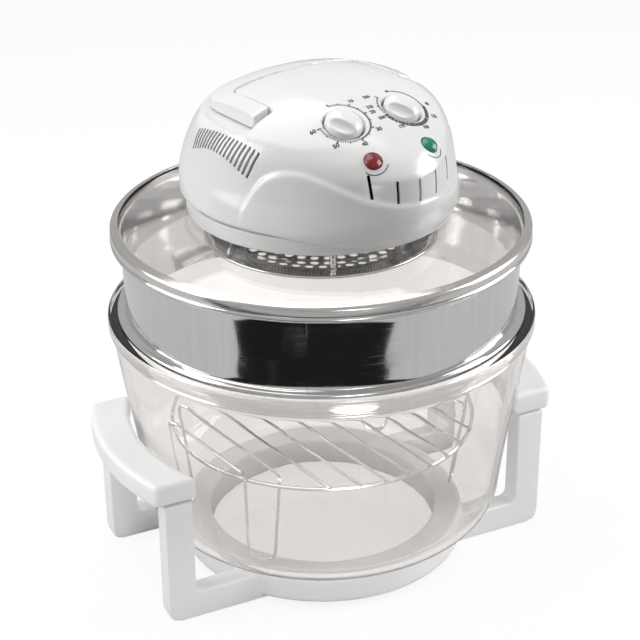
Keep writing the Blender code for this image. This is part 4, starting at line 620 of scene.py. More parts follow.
def make_bowl():
    wall = flowing(BOWL_OUTSIDE, 3)
    rim = ([(161.0, 213.0)] + arc(167.4, 210.4, 2.6, 90, 0, 5) + arc(168.0, 205.0, 2.0, 0, -60, 3)
           + [(167.8, 202.2), (166.9, 201.0)])
    bottom = arc(CURVE_SIDE, CURVE_LEVEL, CURVE_REACH, 0, -90, 14, CURVE_DROP)[1:]
    floor = BOWL_FOOT + GLASS_WALL
    inside = ([(0.0, floor), (BOWL_FLAT, floor)]
              + arc(CURVE_SIDE, CURVE_LEVEL, CURVE_REACH - GLASS_WALL, -90, 0, 14, CURVE_DROP - GLASS_WALL)
              + [(x - GLASS_WALL, z) for x, z in wall[::-1][1:]]
              + [(160.6, 203.0), (159.4, 205.5)] + arc(161.0, 211.0, 2.0, 180, 90, 4)[:-1])
    bowl = spun("bowl", rim + wall + bottom + [(BOWL_FLAT, BOWL_FOOT), (0.0, BOWL_FOOT)] + inside, 192, 40)
    finished(bowl, "bowl", "bowl_glass", BOWL_GLASS, "glass_bowl")


# Wire rack with its two standing loops

RACK_REACH, RACK_LEVEL, RACK_GAP = 123.5, 115.0, 20.3
HOOP_WIRE, CROSS_WIRE = 1.6, 1.2
# Where on the bowl's floor the legs stand, from its middle
LEG_STAND = 118.0
# Outer and inner leg: where its wire leaves the grid, where it bends down, where its foot stands
LEG_PLACES = (((111.65, 47.8), (114.8, 54.2), (106.7, 45.2)), ((91.35, 63.5), (94.6, 71.5), (90.8, 57.4)))


def bowl_inside(radius):
    """The level of the bowl's rounded floor."""
    out = (radius - CURVE_SIDE) / (CURVE_REACH - GLASS_WALL)
    return CURVE_LEVEL - (CURVE_DROP - GLASS_WALL) * math.sqrt(1 - out ** 2)


def make_rack():
    turns = [math.tau * step / 120 for step in range(120)]
    hoop = [(RACK_REACH * math.cos(turn), RACK_REACH * math.sin(turn), RACK_LEVEL) for turn in turns]
    wires = [wire_path("rack_hoop", hoop, HOOP_WIRE, True)]
    top = RACK_LEVEL + HOOP_WIRE + CROSS_WIRE
    for number in range(8):
        x = RACK_GAP * (number - 3.5)
        reach = math.sqrt(RACK_REACH ** 2 - x ** 2) + 3.0
        wires.append(wire_path("rack_wire", [(x, -reach, top - 0.6), (x, reach, top - 0.6)], CROSS_WIRE))
    grid = put(smooth(join("rack_wires", wires)), HEAD_TURN)
    finished(grid, "rack", "rack_chrome", RACK_CHROME, "rack_grid")
    levels = (top + GAP, top + GAP, bowl_inside(LEG_STAND) + GAP + CROSS_WIRE)
    for side, way in (("left", -1), ("right", 1)):
        line = []
        for places, ends in zip(LEG_PLACES, ((1, -1), (-1, 1))):
            for end in ends:
                leg = [(way * x, end * y, z) for (x, y), z in zip(places, levels)]
                line += leg[::-1] if end == ends[0] else leg
        loop = smooth(wire_path("rack_loop_on_" + side, rounded(line, 9.0), CROSS_WIRE, True))
        finished(put(loop, HEAD_TURN), "rack", "rack_chrome", RACK_CHROME, "rack_leg_loop_" + side)


# Extension ring of sheet steel with a weld line at the front

def make_ring():
    profile = ([(154.5, 278.4), (154.5, 197.0), (156.5, 197.0), (156.5, 212.9)]
               + arc(160.3, 215.0, 1.7, -90, 90, 8) + [(157.0, 216.9), (156.2, 217.6)]
               + flowing([(156.0, 219.0), (155.8, 235.0), (156.0, 252.0), (156.4, 271.0)], 4)
               + [(156.8, 273.4), (157.6, 274.5)] + arc(162.0, 277.0, 2.5, -90, 90, 10)
               + [(156.0, 279.5), (155.0, 279.2)])
    ring = spun("steel_ring", profile, 192, 40)
    cut(ring, put(block("weld_line", oblong(0.4, 218.5, 271.5), 4.0, moved(0, -159.6, 0)), turned(-29.7)))
    finished(ring, "ring", "ring_steel", RING_STEEL, "extension_ring")


# Lid: glass, rim band and the seal under the head

LID_MIDDLE, LID_REACH, LID_BORE = 108.0, 162.8, 78.0
LID_LEVEL, LID_THICK, LID_DROP = 297.5, 4.0, 12.4


def lid_line(level):
    """From the bore outwards, level at first and then falling to the rim."""
    return [(LID_BORE, level), (93.0, level)] + [
        (LID_MIDDLE + (LID_REACH - LID_MIDDLE) * step / 20, level - LID_DROP * (step / 20) ** 1.6)
        for step in range(21)]


def make_lid():
    top, under = lid_line(LID_LEVEL), lid_line(LID_LEVEL - LID_THICK)
    glass = spun("lid_pane", top + [(LID_REACH, top[-1][1] - 0.5)] + under[::-1], 192, 40)
    finished(glass, "lid", "lid_glass", LID_GLASS, "glass_lid")
    band = spun("rim_band", [(157.8, 279.8), (163.7, 279.8), (164.1, 280.2), (164.1, 284.6), (163.8, 285.8),
                             (162.8, 286.9), (160.4, 287.9), (157.9, 288.7), (157.8, 287.8), (160.2, 286.9),
                             (162.3, 285.9), (163.1, 285.1), (163.1, 281.0), (157.8, 280.8)], 192, 30)
    finished(band, "lid", "rim_steel", BAND_STEEL, "lid_rim_band")
    seal = spun("head_seal", [(84.0, 297.8), (99.6, 297.8), (100.0, 298.1), (100.0, 298.7), (99.6, 299.0),
                              (84.0, 299.0)], 128)
    finished(seal, "lid", "seal_rubber", SEAL_RUBBER, "head_gasket")


make_stand()
make_grips()
make_bowl()
make_rack()
make_ring()
make_lid()


# Head cover, a moulded dome with a shelf for the handle, wells for the knobs and cooling slots

HEAD_LOW, HEAD_TALL = 299.0, 101.5
HEAD_TOP = HEAD_LOW + HEAD_TALL
HEAD_SIDE, HEAD_FRONT, HEAD_REAR = 107.0, 117.5, 112.0
COVER_WALL = 2.5
# Height share, side share, front share, rear share, front squareness, rear squareness
SECTION_SHARES = (
    (0.000, 0.975, 0.905, 0.930, 1.85, 2.05),
    (0.135, 0.998, 0.965, 0.985, 1.84, 2.05),
    (0.265, 0.985, 0.990, 1.000, 1.75, 2.10),
    (0.400, 0.955, 0.992, 0.970, 1.70, 2.15),
    (0.540, 0.925, 0.980, 0.895, 1.71, 2.20),
    (0.640, 0.905, 0.912, 0.820, 1.80, 2.25),
    (0.740, 0.865, 0.790, 0.745, 1.93, 2.30),
    (0.840, 0.765, 0.630, 0.690, 2.10, 2.30),
    (0.915, 0.620, 0.465, 0.540, 2.25, 2.30),
    (0.975, 0.400, 0.282, 0.340, 2.30, 2.20),
    (1.000, 0.000, 0.000, 0.000, 2.20, 2.20),
)
# Share of the half turn from the front to the right, height share of the chin's edge there
CHIN_SHARES = (
    (-1.000, 0.190), (-0.400, 0.190), (-0.388, 0.283), (-0.377, 0.370), (-0.366, 0.450), (-0.352, 0.520),
    (-0.335, 0.563), (-0.313, 0.592), (-0.287, 0.605), (-0.265, 0.602), (-0.237, 0.570), (-0.208, 0.530),
    (-0.179, 0.488), (-0.147, 0.442), (-0.112, 0.406), (-0.077, 0.378), (-0.034, 0.361), (0.031, 0.352),
    (0.083, 0.337), (0.127, 0.318), (0.165, 0.306), (0.200, 0.310), (0.235, 0.370), (0.265, 0.465),
    (0.290, 0.550), (0.313, 0.592), (0.335, 0.575), (0.352, 0.520), (0.366, 0.450), (0.377, 0.370),
    (0.388, 0.283), (0.400, 0.190), (1.000, 0.190),
)
# Share of the half turn from the front to either side, height share of the cover's lower hem there
HEM_SHARES = ((0.00, 0.040), (0.08, 0.040), (0.20, 0.085), (0.34, 0.150), (1.00, 0.150))
# How far the chin stands proud, and the height over its edge with the share of that swelling
CHIN_PROUD_LEFT, CHIN_PROUD_RIGHT = 2.4, 1.2
RIDGE = ((-4.4, 1.0), (-3.0, 1.0), (-1.9, 0.97), (-1.0, 0.89), (-0.2, 0.74), (0.5, 0.53), (1.2, 0.3),
         (2.0, 0.12), (2.9, 0.02), (4.0, 0.0))


class Easing:
    """A smooth curve through given values that never overshoots them."""

    def __init__(self, xs, ys):
        self.xs, self.ys = list(xs), list(ys)
        slopes = [(y_next - y) / (x_next - x)
                  for x, x_next, y, y_next in zip(self.xs, self.xs[1:], self.ys, self.ys[1:])]
        self.tangents = [slopes[0]]
        for before, after in zip(slopes, slopes[1:]):
            self.tangents.append(2 / (1 / before + 1 / after) if before * after > 0 else 0.0)
        self.tangents.append(slopes[-1])

    def __call__(self, value):
        xs, ys, tangents = self.xs, self.ys, self.tangents
        value = min(max(value, xs[0]), xs[-1])
        index = 0
        while index < len(xs) - 2 and value >= xs[index + 1]:
            index += 1
        step = xs[index + 1] - xs[index]
        t = (value - xs[index]) / step
        return ((1 + 2 * t) * (1 - t) ** 2 * ys[index] + t * (1 - t) ** 2 * step * tangents[index]
                + t ** 2 * (3 - 2 * t) * ys[index + 1] + t ** 2 * (t - 1) * step * tangents[index + 1])


LEVELS, *COLUMNS = zip(*SECTION_SHARES)
SIDE_CURVE, FRONT_CURVE, REAR_CURVE = (Easing(LEVELS, [share ** 2 for share in column])
                                       for column in COLUMNS[:3])
FRONT_SQUARE, REAR_SQUARE = (Easing(LEVELS, column) for column in COLUMNS[3:])
CHIN_CURVE, HEM_CURVE = Easing(*zip(*CHIN_SHARES)), Easing(*zip(*HEM_SHARES))


def swell(angle):
    """How far the chin stands proud at an angle. It fades out at the sides."""
    share = min(max(angle / math.pi / 0.3 + 0.5, 0.0), 1.0)
    most = CHIN_PROUD_LEFT + (CHIN_PROUD_RIGHT - CHIN_PROUD_LEFT) * share
    return most * max(0.0, min(1.0, (0.40 - abs(angle) / math.pi) / 0.05))


def section(level, ahead=True):
    """The head's reach to the side and to the front or rear at a level, and how square it is."""
    share = (level - HEAD_LOW) / HEAD_TALL
    side = HEAD_SIDE * math.sqrt(max(SIDE_CURVE(share), 0.0))
    if ahead:
        return side, HEAD_FRONT * math.sqrt(max(FRONT_CURVE(share), 0.0)), FRONT_SQUARE(share)
    return side, HEAD_REAR * math.sqrt(max(REAR_CURVE(share), 0.0)), REAR_SQUARE(share)


def head_place(angle, level, proud=0.0):
    """A point on the head's outside. The angle runs from the front to the right."""
    across, along = math.sin(angle), math.cos(angle)
    side, reach, power = section(level, along > 0)
    x = side * math.copysign(abs(across) ** (2 / power), across)
    y = -reach * math.copysign(abs(along) ** (2 / power), along)
    length = math.hypot(x, y)
    if length < 0.001:
        return Vector((0.0, 0.0, level))
    grow = (length + proud) / length
    return Vector((x * grow, y * grow, level))


def inward(angle, level, proud=0.0):
    """The way into the head at a point on its outside."""
    turn, rise = math.radians(2), 0.5
    below = min(level, HEAD_TOP - rise)
    along = head_place(angle + turn, below, proud) - head_place(angle - turn, below, proud)
    up = head_place(angle, below + rise, proud) - head_place(angle, below - rise, proud)
    return -along.cross(up).normalized()


def head_skin(name, inset=0.0, columns=180, low_rows=14, high_rows=46, proud=0.0):
    """A closed dome whose rows follow the chin's edge. It starts as a grid that is wrapped round."""
    clear_selection()
    rows = low_rows + len(RIDGE) + high_rows
    bpy.ops.mesh.primitive_grid_add(x_subdivisions=columns, y_subdivisions=rows - 1, size=2.0)
    skin = named(name)
    for vertex in skin.data.vertices:
        column = round((vertex.co.x + 1) / 2 * columns) % columns
        row = round((vertex.co.y + 1) / 2 * (rows - 1))
        angle = -math.pi + math.tau * column / columns
        edge = HEAD_LOW + HEAD_TALL * CHIN_CURVE(angle / math.pi)
        hem = HEAD_LOW + HEAD_TALL * HEM_CURVE(abs(angle) / math.pi)
        if row < low_rows:
            level, share = hem + (edge + RIDGE[0][0] - hem) * row / low_rows, 0.1 + 0.9 * row / low_rows
        elif row < low_rows + len(RIDGE):
            level, share = edge + RIDGE[row - low_rows][0], RIDGE[row - low_rows][1]
        else:
            start = edge + RIDGE[-1][0]
            rise = math.sin(math.pi / 2 * (row - low_rows - len(RIDGE) + 1) / high_rows)
            level, share = start + (HEAD_TOP - start) * rise, 0.0
        lift = swell(angle) * share + proud
        vertex.co = (head_place(angle, level, lift) + inward(angle, level, lift) * inset) * MM
    edit_all(skin)
    bpy.ops.mesh.remove_doubles(threshold=1e-6)
    bpy.ops.mesh.select_all(action="DESELECT")
    bpy.ops.mesh.select_mode(type="EDGE")
    bpy.ops.mesh.select_non_manifold()
    bpy.ops.mesh.edge_face_add()
    bpy.ops.mesh.select_mode(type="VERT")
    face_outwards()
    return skin


SHELF_LEVEL, SHELF_FRONT = 378.7, 22.5
PLATFORM_HALF, PLATFORM_REAR, PLATFORM_CORNER = 59.5, 31.5, 8.0
PIVOT_FRONT, PIVOT_LEVEL = 11.0, 386.5
PIN_BORE, PIVOT_ROUND = 2.5, 7.5
BOSS_CIRCLE, BOSS_ANGLES = 86.0, (50, 130, 230, 310)


def shelf_tool(name, inset=0.0):
    """What the handle's shelf takes away, above the shelf, behind its front wall, outside the platform."""
    level, front = SHELF_LEVEL - inset, -SHELF_FRONT - inset
    above = flat_block(name, oblong(140.0, front, 140.0), level, HEAD_TOP + 6)
    outline = corners(oblong(PLATFORM_HALF - inset, front - 30, PLATFORM_REAR - inset), PLATFORM_CORNER)
    platform = flat_block(name + "_platform", outline, level - 4, HEAD_TOP + 9)
    radius = PLATFORM_REAR + PIVOT_FRONT + 0.1 - inset
    side = ([(-140.0, SHELF_LEVEL - 12), (radius - PIVOT_FRONT, SHELF_LEVEL - 12)]
            + arc(-PIVOT_FRONT, PIVOT_LEVEL, radius, 0, 36, 10) + [(-140.0, HEAD_TOP + 12)])
    cut(platform, side_block(name + "_lean", side, 300), "INTERSECT")
    return cut(above, platform)


KNOB_SIDE, KNOB_FRONT, KNOB_TILT = 27.0, 64.0, 26.6
LENS_SIDE, LENS_FRONT, LENS_TILT = 26.0, 96.5, 35.0
WELL_DEPTH, WELL_CUP = 7.5, 19.4
# How far the knobs are turned, in degrees, and the radii of the cover's holes
KNOB_TURN = 38
LENS_HOLE, SHAFT_HOLE, PLUNGER_HOLE = 7.1, 3.5, 2.3


def panel_frame(side, front, tilt):
    """A place on the panel with Z standing out of it, in the head's own frame."""
    low, high = HEAD_LOW + HEAD_TALL / 2, HEAD_TOP
    for _ in range(40):
        middle = (low + high) / 2
        width, reach, power = section(middle)
        inside = abs(side / width) ** power + abs(front / reach) ** power < 1
        low, high = (middle, high) if inside else (low, middle)
    return moved(side, -front, (low + high) / 2) @ turned(tilt, "X")


def knob_place(way):
    return panel_frame(way * KNOB_SIDE, KNOB_FRONT, KNOB_TILT)


def lens_place(way):
    return panel_frame(way * LENS_SIDE, LENS_FRONT, LENS_TILT)


# Front slots: place to the right, lower and upper level
FRONT_SLOTS = ((-34.0, 343.4, 360.6), (-16.2, 338.2, 355.2), (1.6, 336.9, 354.0), (20.2, 337.0, 354.6),
               (39.0, 340.0, 357.6))
# Side vents: reach to the front and level of the slots' upper and lower ends
VENT_TOPS = ((39.3, 371.1), (35.8, 372.6), (28.6, 374.3), (13.1, 376.2), (1.3, 376.4), (-12.3, 375.1),
             (-20.3, 373.8), (-30.0, 371.0))
VENT_FEET = ((33.0, 351.6), (25.4, 355.2), (18.7, 358.8), (7.6, 362.3), (-0.5, 363.0), (-10.0, 362.2),
             (-20.5, 359.3), (-37.4, 353.2))
VENTS, VENT_TOP_RUN, VENT_FOOT_RUN = 18, 66.3, 65.0
FRONT_SLOT_WIDTH, VENT_WIDTH = 2.3, 2.1


def slot_tool(name, foot, top, outward, width, reach):
    """A slot's cutter between two places on the skin, with a rounded end at the top."""
    rise = top - foot
    up = rise.normalized()
    out = (outward - up * outward.dot(up)).normalized()
    turn = Matrix((out.cross(up), out, up)).transposed().to_4x4()
    outline = [(-width / 2, 0.0), (width / 2, 0.0)] + arc(0, rise.length - width / 2, width / 2, 0, 180, 6)
    return block(name, outline, 2 * reach, Matrix.Translation(foot * MM) @ turn @ moved(0, -reach, 0))


def side_place(way, front, level):
    """The place on the head's side at a reach to the front and a level, with the way out of it."""
    _, reach, power = section(level, front > 0)
    angle = way * math.acos(math.copysign((abs(front) / reach) ** (power / 2), front))
    return head_place(angle, level), -inward(angle, level)


def front_place(side, level):
    """The same for the front, at a reach to the right and a level."""
    width, _, power = section(level)
    angle = math.copysign(math.asin((abs(side) / width) ** (power / 2)), side)
    return head_place(angle, level), -inward(angle, level)


def slot_tools():
    tools = []
    for side, low, high in FRONT_SLOTS:
        foot, top = front_place(side, low)[0], front_place(side, high)[0]
        outward = front_place(side, (low + high) / 2)[1]
        tools.append(slot_tool("front_slot", foot, top, outward, FRONT_SLOT_WIDTH, 8.0))
    top_line, foot_line = (Easing([-front for front, _ in ends], [level for _, level in ends])
                           for ends in (VENT_TOPS, VENT_FEET))
    for way in (-1, 1):
        for number in range(VENTS):
            share = number / (VENTS - 1)
            top_front = VENT_TOPS[0][0] - VENT_TOP_RUN * share
            foot_front = VENT_FEET[0][0] - VENT_FOOT_RUN * share
            top, outward = side_place(way, top_front, top_line(-top_front))
            foot, _ = side_place(way, foot_front, foot_line(-foot_front))
            tools.append(slot_tool("side_vent", foot, top, outward, VENT_WIDTH, 6.0))
    return tools


def make_cover():
    cover = head_skin("head_dome")
    truth = true_surface(cover)
    cut(cover, shelf_tool("shelf"))
    for way in (-1, 1):
        well = spun("knob_well", [(0.0, -WELL_DEPTH), (14.9, -WELL_DEPTH), (15.1, -5.5), (15.3, -3.0),
                                  (15.5, -1.2), (16.0, 0.4), (16.2, 3.0), (16.2, 12.0), (0.0, 12.0)], 64)
        cut(cover, put(well, knob_place(way)))
    settle(soften(cover, 1.15, 7), truth)
    hollow = head_skin("head_room", COVER_WALL, 60, 5, 14)
    below = flat_block("head_room_below", arc(0, 0, 96, 0, 354, 59), HEAD_LOW - 6, HEAD_LOW + 8)
    cut(hollow, below, "UNION")
    cut(hollow, shelf_tool("shelf_inside", COVER_WALL))
    cup_floor = -WELL_DEPTH - COVER_WALL
    for way in (-1, 1):
        cut(hollow, rod("well_cup", WELL_CUP, cup_floor, cup_floor + 20, sides=40, base=knob_place(way)))
    for place in around(BOSS_CIRCLE, BOSS_ANGLES):
        cut(hollow, rod("boss_room", 4.5, 300.0, 420.0, place, 20))
    cut(cover, hollow)
    cut(cover, join("slots", slot_tools()))
    for way in (-1, 1):
        pivot = (way * (PLATFORM_HALF - 1.5), -PIVOT_FRONT, PIVOT_LEVEL)
        cut(cover, rod("lamp_hole", LENS_HOLE, -15, 15, sides=40, base=lens_place(way)))
        cut(cover, rod("shaft_hole", SHAFT_HOLE, -WELL_DEPTH - 6, -WELL_DEPTH + 6, sides=24,
                       base=knob_place(way)))
        cut(cover, cross_rod("pin_hole", PIN_BORE, 12.0, pivot))
    cut(cover, rod("plunger_hole", PLUNGER_HOLE, SHELF_LEVEL - 6, SHELF_LEVEL + 6, (-69.0, 12.0), 20))
    clear_selection()
    bpy.ops.mesh.primitive_cube_add(size=1.0, location=(0, 0.1, 0.334), scale=(0.0286, 0.06, 0.0226))
    cut(cover, put(named("inlet_hole")))
    put(cover, HEAD_TURN)
    return finished(smooth(cover, 40), "lid", "head_white", HEAD_WHITE, "head_cover")


# Carry handle, a bar bent round the platform whose top carries on the dome

def make_handle():
    half, rear, swing_gap = 74.0, 55.0, 0.8
    inner_half, inner_rear = PLATFORM_HALF + swing_gap, PLATFORM_REAR + swing_gap
    front, low = -PIVOT_FRONT - PIVOT_ROUND, SHELF_LEVEL + GAP
    outer = corners([(half, front), (half, rear), (-half, rear), (-half, front)], 26.0, 12, False)
    inner = corners([(-inner_half, front), (-inner_half, inner_rear), (inner_half, inner_rear),
                     (inner_half, front)], PLATFORM_CORNER + swing_gap, 6, False)
    handle = flat_block("handle_bar", outer + inner, low, SHELF_LEVEL + 25.0)
    side = ([(rear + 3, low)] + arc(-PIVOT_FRONT, PIVOT_LEVEL, PIVOT_ROUND, -90, -180, 8)
            + [(front, SHELF_LEVEL + 26.0), (rear + 3, SHELF_LEVEL + 26.0)])
    cut(handle, side_block("handle_ends", side, 200), "INTERSECT")
    dome = head_skin("handle_dome", 0.0, 180, 6, 40, 3.0)
    truth = true_surface(dome)
    cut(handle, dome, "INTERSECT")
    settle(soften(handle, 0.9, 26, 0.6), truth, 0.35, 1.0)
    for way in (-1, 1):
        pivot = (way * PLATFORM_HALF, -PIVOT_FRONT, PIVOT_LEVEL)
        cut(handle, cross_rod("handle_hole", PIN_BORE, 23.2, pivot))
    put(handle, HEAD_TURN)
    finished(smooth(handle, 40), "handle", "head_white", HANDLE_WHITE, "carry_handle")


# Collar, knobs and lamp lenses

def make_collar():
    low, high, lip = 299.3, 311.8, 314.8
    outer, inner, edge = 104.2, 100.7, 1.2
    collar = spun("collar", [(inner, lip), (inner, high)] + arc(outer - edge, high - edge, edge, 90, 0, 4)
                  + arc(outer - edge, low + edge, edge, 0, -90, 4)
                  + [(LID_BORE, low), (LID_BORE, low + 3.0), (inner - 3.5, low + 3.0),
                     (inner - 3.5, lip)], 160)
    for place in around(BOSS_CIRCLE, BOSS_ANGLES):
        cut(collar, rod("screw_way", 1.9, 290.0, 310.0, place))
        cut(collar, rod("screw_head_way", 3.3, 290.0, low + 1.7, place))
    finished(put(collar, HEAD_TURN), "lid", "head_white", COLLAR_WHITE, "head_base")


def make_knob(name, body, way, cad):
    knob = spun(name, [(0.0, 7.0), (4.0, 6.9), (7.5, 6.4), (10.2, 5.4), (12.2, 4.0), (13.4, 2.4),
                       (14.0, 0.6), (14.1, -1.6), (14.1, -6.5), (0.0, -6.5)], 64, 60)
    slope = [(4.2, 8.0), (5.4, 5.6), (7.4, 3.6), (10.0, 2.5), (17.0, 2.0), (17.0, 12.0), (4.2, 12.0)]
    for turn in (0, 180):
        cut(knob, put(block("finger_scoop", slope, 50.0, moved(0, -25, 0)), turned(turn)))
    soften(knob, 0.5, 12)
    put(knob, HEAD_TURN @ knob_place(way) @ turned(KNOB_TURN))
    finished(knob, body, "head_white", KNOB_WHITE, cad)


def make_lens(name, way, slot, paint, cad):
    lens = spun(name, [(0.0, 2.4), (2.4, 2.3), (4.6, 1.7), (5.9, 0.9), (6.5, 0.1), (6.8, -0.8), (6.8, -6.0),
                       (0.0, -6.0)], 48, 50)
    finished(put(lens, HEAD_TURN @ lens_place(way)), "lid", slot, paint, cad)


make_collar()
cover = make_cover()
make_handle()
make_knob("timer_grip", "timer_dial", -1, "timer_knob")
make_knob("temperature_grip", "temperature_dial", 1, "temperature_knob")
make_lens("power_lens", -1, "red_lens", RED_LENS, "power_lamp_lens")
make_lens("heat_lens", 1, "green_lens", GREEN_LENS, "heat_lamp_lens")


# Heater guard: a perforated dish hung on four posts under the lid, and the plate over it

GUARD_FLOOR, GUARD_TOP = 272.5, 291.7
# Radius of each row of holes and how many it has
GUARD_ROWS = ((87.0, 54), (64.5, 40), (54.7, 34), (45.0, 28), (35.4, 22), (25.8, 16), (16.0, 10))
HANGER_CIRCLE, HANGER_ANGLES = 69.2, (-30.0, 60.0, 150.0, 240.0)
BOLT_CIRCLE, BOLT_ANGLES = 66.6, (45, 135, 225, 315)
BOLT_REACH = BOLT_CIRCLE * math.sqrt(0.5)


def ring_of(tool, count):
    """Turns one tool into a ring of them about the upright axis."""
    edit_all(tool)
    bpy.ops.mesh.spin(steps=count - 1, dupli=True, angle=math.tau * (count - 1) / count, center=(0, 0, 0),
                      axis=(0, 0, 1))
    face_outwards()
    return tool


def make_guard():
    top, floor = GUARD_TOP, GUARD_FLOOR
    guard = spun("perforated_guard", [(0.0, floor), (74.6, floor), (75.4, floor + 0.7), (83.6, floor + 0.7),
                                      (88.6, floor + 2.9)] + arc(90.2, floor + 2.6, 1.3, 150, -120, 10)
                 + [(84.0, floor + 1.6), (83.4, floor + 1.5), (75.0, floor + 1.5), (74.2, floor + 0.8),
                    (0.0, floor + 0.8)], 144, 40)
    for radius, count in GUARD_ROWS:
        size = 1.9 if radius > 80 else 3.3
        cut(guard, ring_of(rod("guard_hole", size, floor - 3, floor + 6, (0, -radius)), count))
    added = [spun("hanger_ring", [(62.5, top), (71.6, top), (72.0, top - 0.4), (72.0, top - 0.9),
                                  (62.5, top - 0.9)], 96, 40)]
    for place in around(HANGER_CIRCLE, HANGER_ANGLES):
        added.append(rod("hanger_post", 2.6, floor + 0.4, top - 0.5, place, 24))
        added.append(rod("hanger_nut", 4.1, floor + 0.6, floor + 3.4, place, 6))
    for tool in added:
        cut(guard, tool, "UNION")
    for place in four(BOLT_REACH, BOLT_REACH):
        cut(guard, rod("flange_hole", 2.3, top - 3, top + 3, place))
    put(guard, HEAD_TURN)
    finished(smooth(guard, 40), "lid", "guard_chrome", GUARD_CHROME, "heater_guard")


def make_lower_plate():
    plate = spun("heater_plate", [(6.0, 292.0), (85.6, 292.0), (86.0, 292.4), (86.0, 292.9), (85.6, 293.2),
                                  (6.0, 293.2)], 128, 40)
    for place in four(BOLT_REACH, BOLT_REACH):
        cut(plate, rod("bolt_hole", 2.3, 290, 295, place))
    finished(put(plate, HEAD_TURN), "lid", "plate_steel", PLATE_STEEL, "lower_plate")


# Halogen lamp: a glass tube bent into a ring with a gap, its coil, and two ceramic holders

LAMP_RING, LAMP_LEVEL, LAMP_TUBE, LAMP_GAP = 56.0, 282.5, 4.5, 26.0


def lamp_line(count, radius, turns):
    """A coil wound along the lamp's ring, or the ring's own middle line without turns."""
    line = []
    for step in range(count + 1):
        share = step / count
        angle = math.radians(90 + LAMP_GAP + (360 - 2 * LAMP_GAP) * share)
        twist = math.tau * turns * share
        reach, level = LAMP_RING + radius * math.cos(twist), LAMP_LEVEL + radius * math.sin(twist)
        line.append((reach * math.cos(angle), reach * math.sin(angle), level))
    return line


def make_lamp():
    tube = wire_path("quartz_tube", lamp_line(90, 0.0, 0), LAMP_TUBE)
    finished(put(smooth(tube, 50), HEAD_TURN), "lid", "lamp_quartz", QUARTZ, "halogen_lamp")
    coil = wire_path("lamp_coil", lamp_line(1100, 1.5, 110)[8:-8], 0.28)
    finished(put(smooth(coil, 60), HEAD_TURN), "lid", "lamp_quartz", TUNGSTEN, "halogen_lamp")
    half = 7.0
    for side, way in (("left", -1), ("right", 1)):
        holder = block("holder_on_" + side, oblong(half, LAMP_LEVEL - LAMP_TUBE - 3.0, GUARD_TOP), 12.0,
                       moved(0, 50, 0))
        bevel(holder, 1.2, 3, 40)
        cut(holder, cross_rod("tube_seat", 4.9, 30.0, (-way * 17.5, LAMP_RING, LAMP_LEVEL), 32))
        end = math.radians(LAMP_GAP) - (half + 0.6) / 50.0
        put(holder, HEAD_TURN @ Matrix.Rotation(-way * end, 4, "Z"))
        finished(smooth(holder, 40), "lid", "ceramic", CERAMIC, "lamp_holder_" + side)


# Screws: one with a crossed slot is modelled for each size and copied

def make_screw(name, radius, length, head_radius, head_height):
    """A screw standing upright, its head below, the seat at level 0."""
    screw = spun(name, [(0.0, -head_height), (head_radius * 0.7, -head_height),
                        (head_radius * 0.94, -head_height * 0.75), (head_radius, -head_height * 0.35),
                        (head_radius, 0.0), (radius, 0.0), (radius, length - radius),
                        (radius * 0.3, length), (0.0, length)], 24, 40)
    for turn in (0, 90):
        clear_selection()
        bpy.ops.mesh.primitive_cube_add(
            size=1.0, location=(0, 0, -head_height * MM), rotation=(0, 0, math.radians(turn)),
            scale=(head_radius * 1.2 * MM, head_radius * 0.3 * MM, head_height * MM))
        cut(screw, named("cross_slot"))
    return smooth(screw, 35)


def place_screws(first, places, level, turn, body, names):
    """Copies a screw to its places and takes the first one away."""
    for place, name in zip(places, names):
        twin = copy_to(first, "modelled_" + name, turn @ moved(*place, level))
        finished(twin, body, "screw_steel", SCREW_STEEL, name)
    bpy.data.objects.remove(first)


def make_screws():
    ends = ("front_left", "rear_left", "front_right", "rear_right")
    place_screws(make_screw("grip_screw", 1.9, 26.0, 3.8, 2.2), four(SCREW_SIDE, SCREW_FRONT), 91.7,
                 Matrix(), "stand", ["grip_screw_" + end for end in ends])
    for kind, sizes, circle, angles, level in (
            ("clamp_screw", (2.0, 15.0, 4.0, 2.5), BOLT_CIRCLE, BOLT_ANGLES, 290.4),
            ("cover_screw", (1.6, 14.0, 3.0, 1.4), BOSS_CIRCLE, BOSS_ANGLES, 300.7)):
        place_screws(make_screw(kind, *sizes), around(circle, angles), level, HEAD_TURN, "lid",
                     [f"{kind}_{number}" for number in range(1, 5)])


# Power inlet at the rear of the head

def make_inlet():
    middle = 334.0
    face = head_place(math.pi, middle).y + 1.0
    inlet = block("socket_body", corners(oblong(14, middle - 11, middle + 11), 3.0, 4), 20.0,
                  moved(0, face - 20, 0))
    cup = block("socket_cup", corners(oblong(12, middle - 9, middle + 9), 3.5), 18.0,
                moved(0, face - 15, 0))
    cut(inlet, cup)
    put(bevel(inlet, 0.5, 2, 50), HEAD_TURN)
    finished(smooth(inlet, 35), "lid", "black_plastic", BLACK_PLASTIC, "power_inlet")
    for side, x in (("left", -6), ("right", 6)):
        pin = spun("socket_pin_" + side, [(0.0, 0.0), (2.0, 0.0), (2.0, 10.2), (1.7, 10.8), (1.2, 11.0),
                                          (0.0, 11.0)], 24, 30)
        put(pin, HEAD_TURN @ moved(x, face - 15.5, middle) @ turned(-90, "X"))
        finished(pin, "lid", "screw_steel", SCREW_STEEL, "power_inlet")


# Printed scales round the knobs and under the lamps, in degrees from the rear towards the right

INK_LIFT, INK_THICK = -0.15, 0.38
SCALE_CENTRE, SCALE_RADIUS = (1.2, 1.5), 18.7
LAMP_ARC_CENTRE, LAMP_ARC_RADIUS = (0.3, -0.6), 10.2
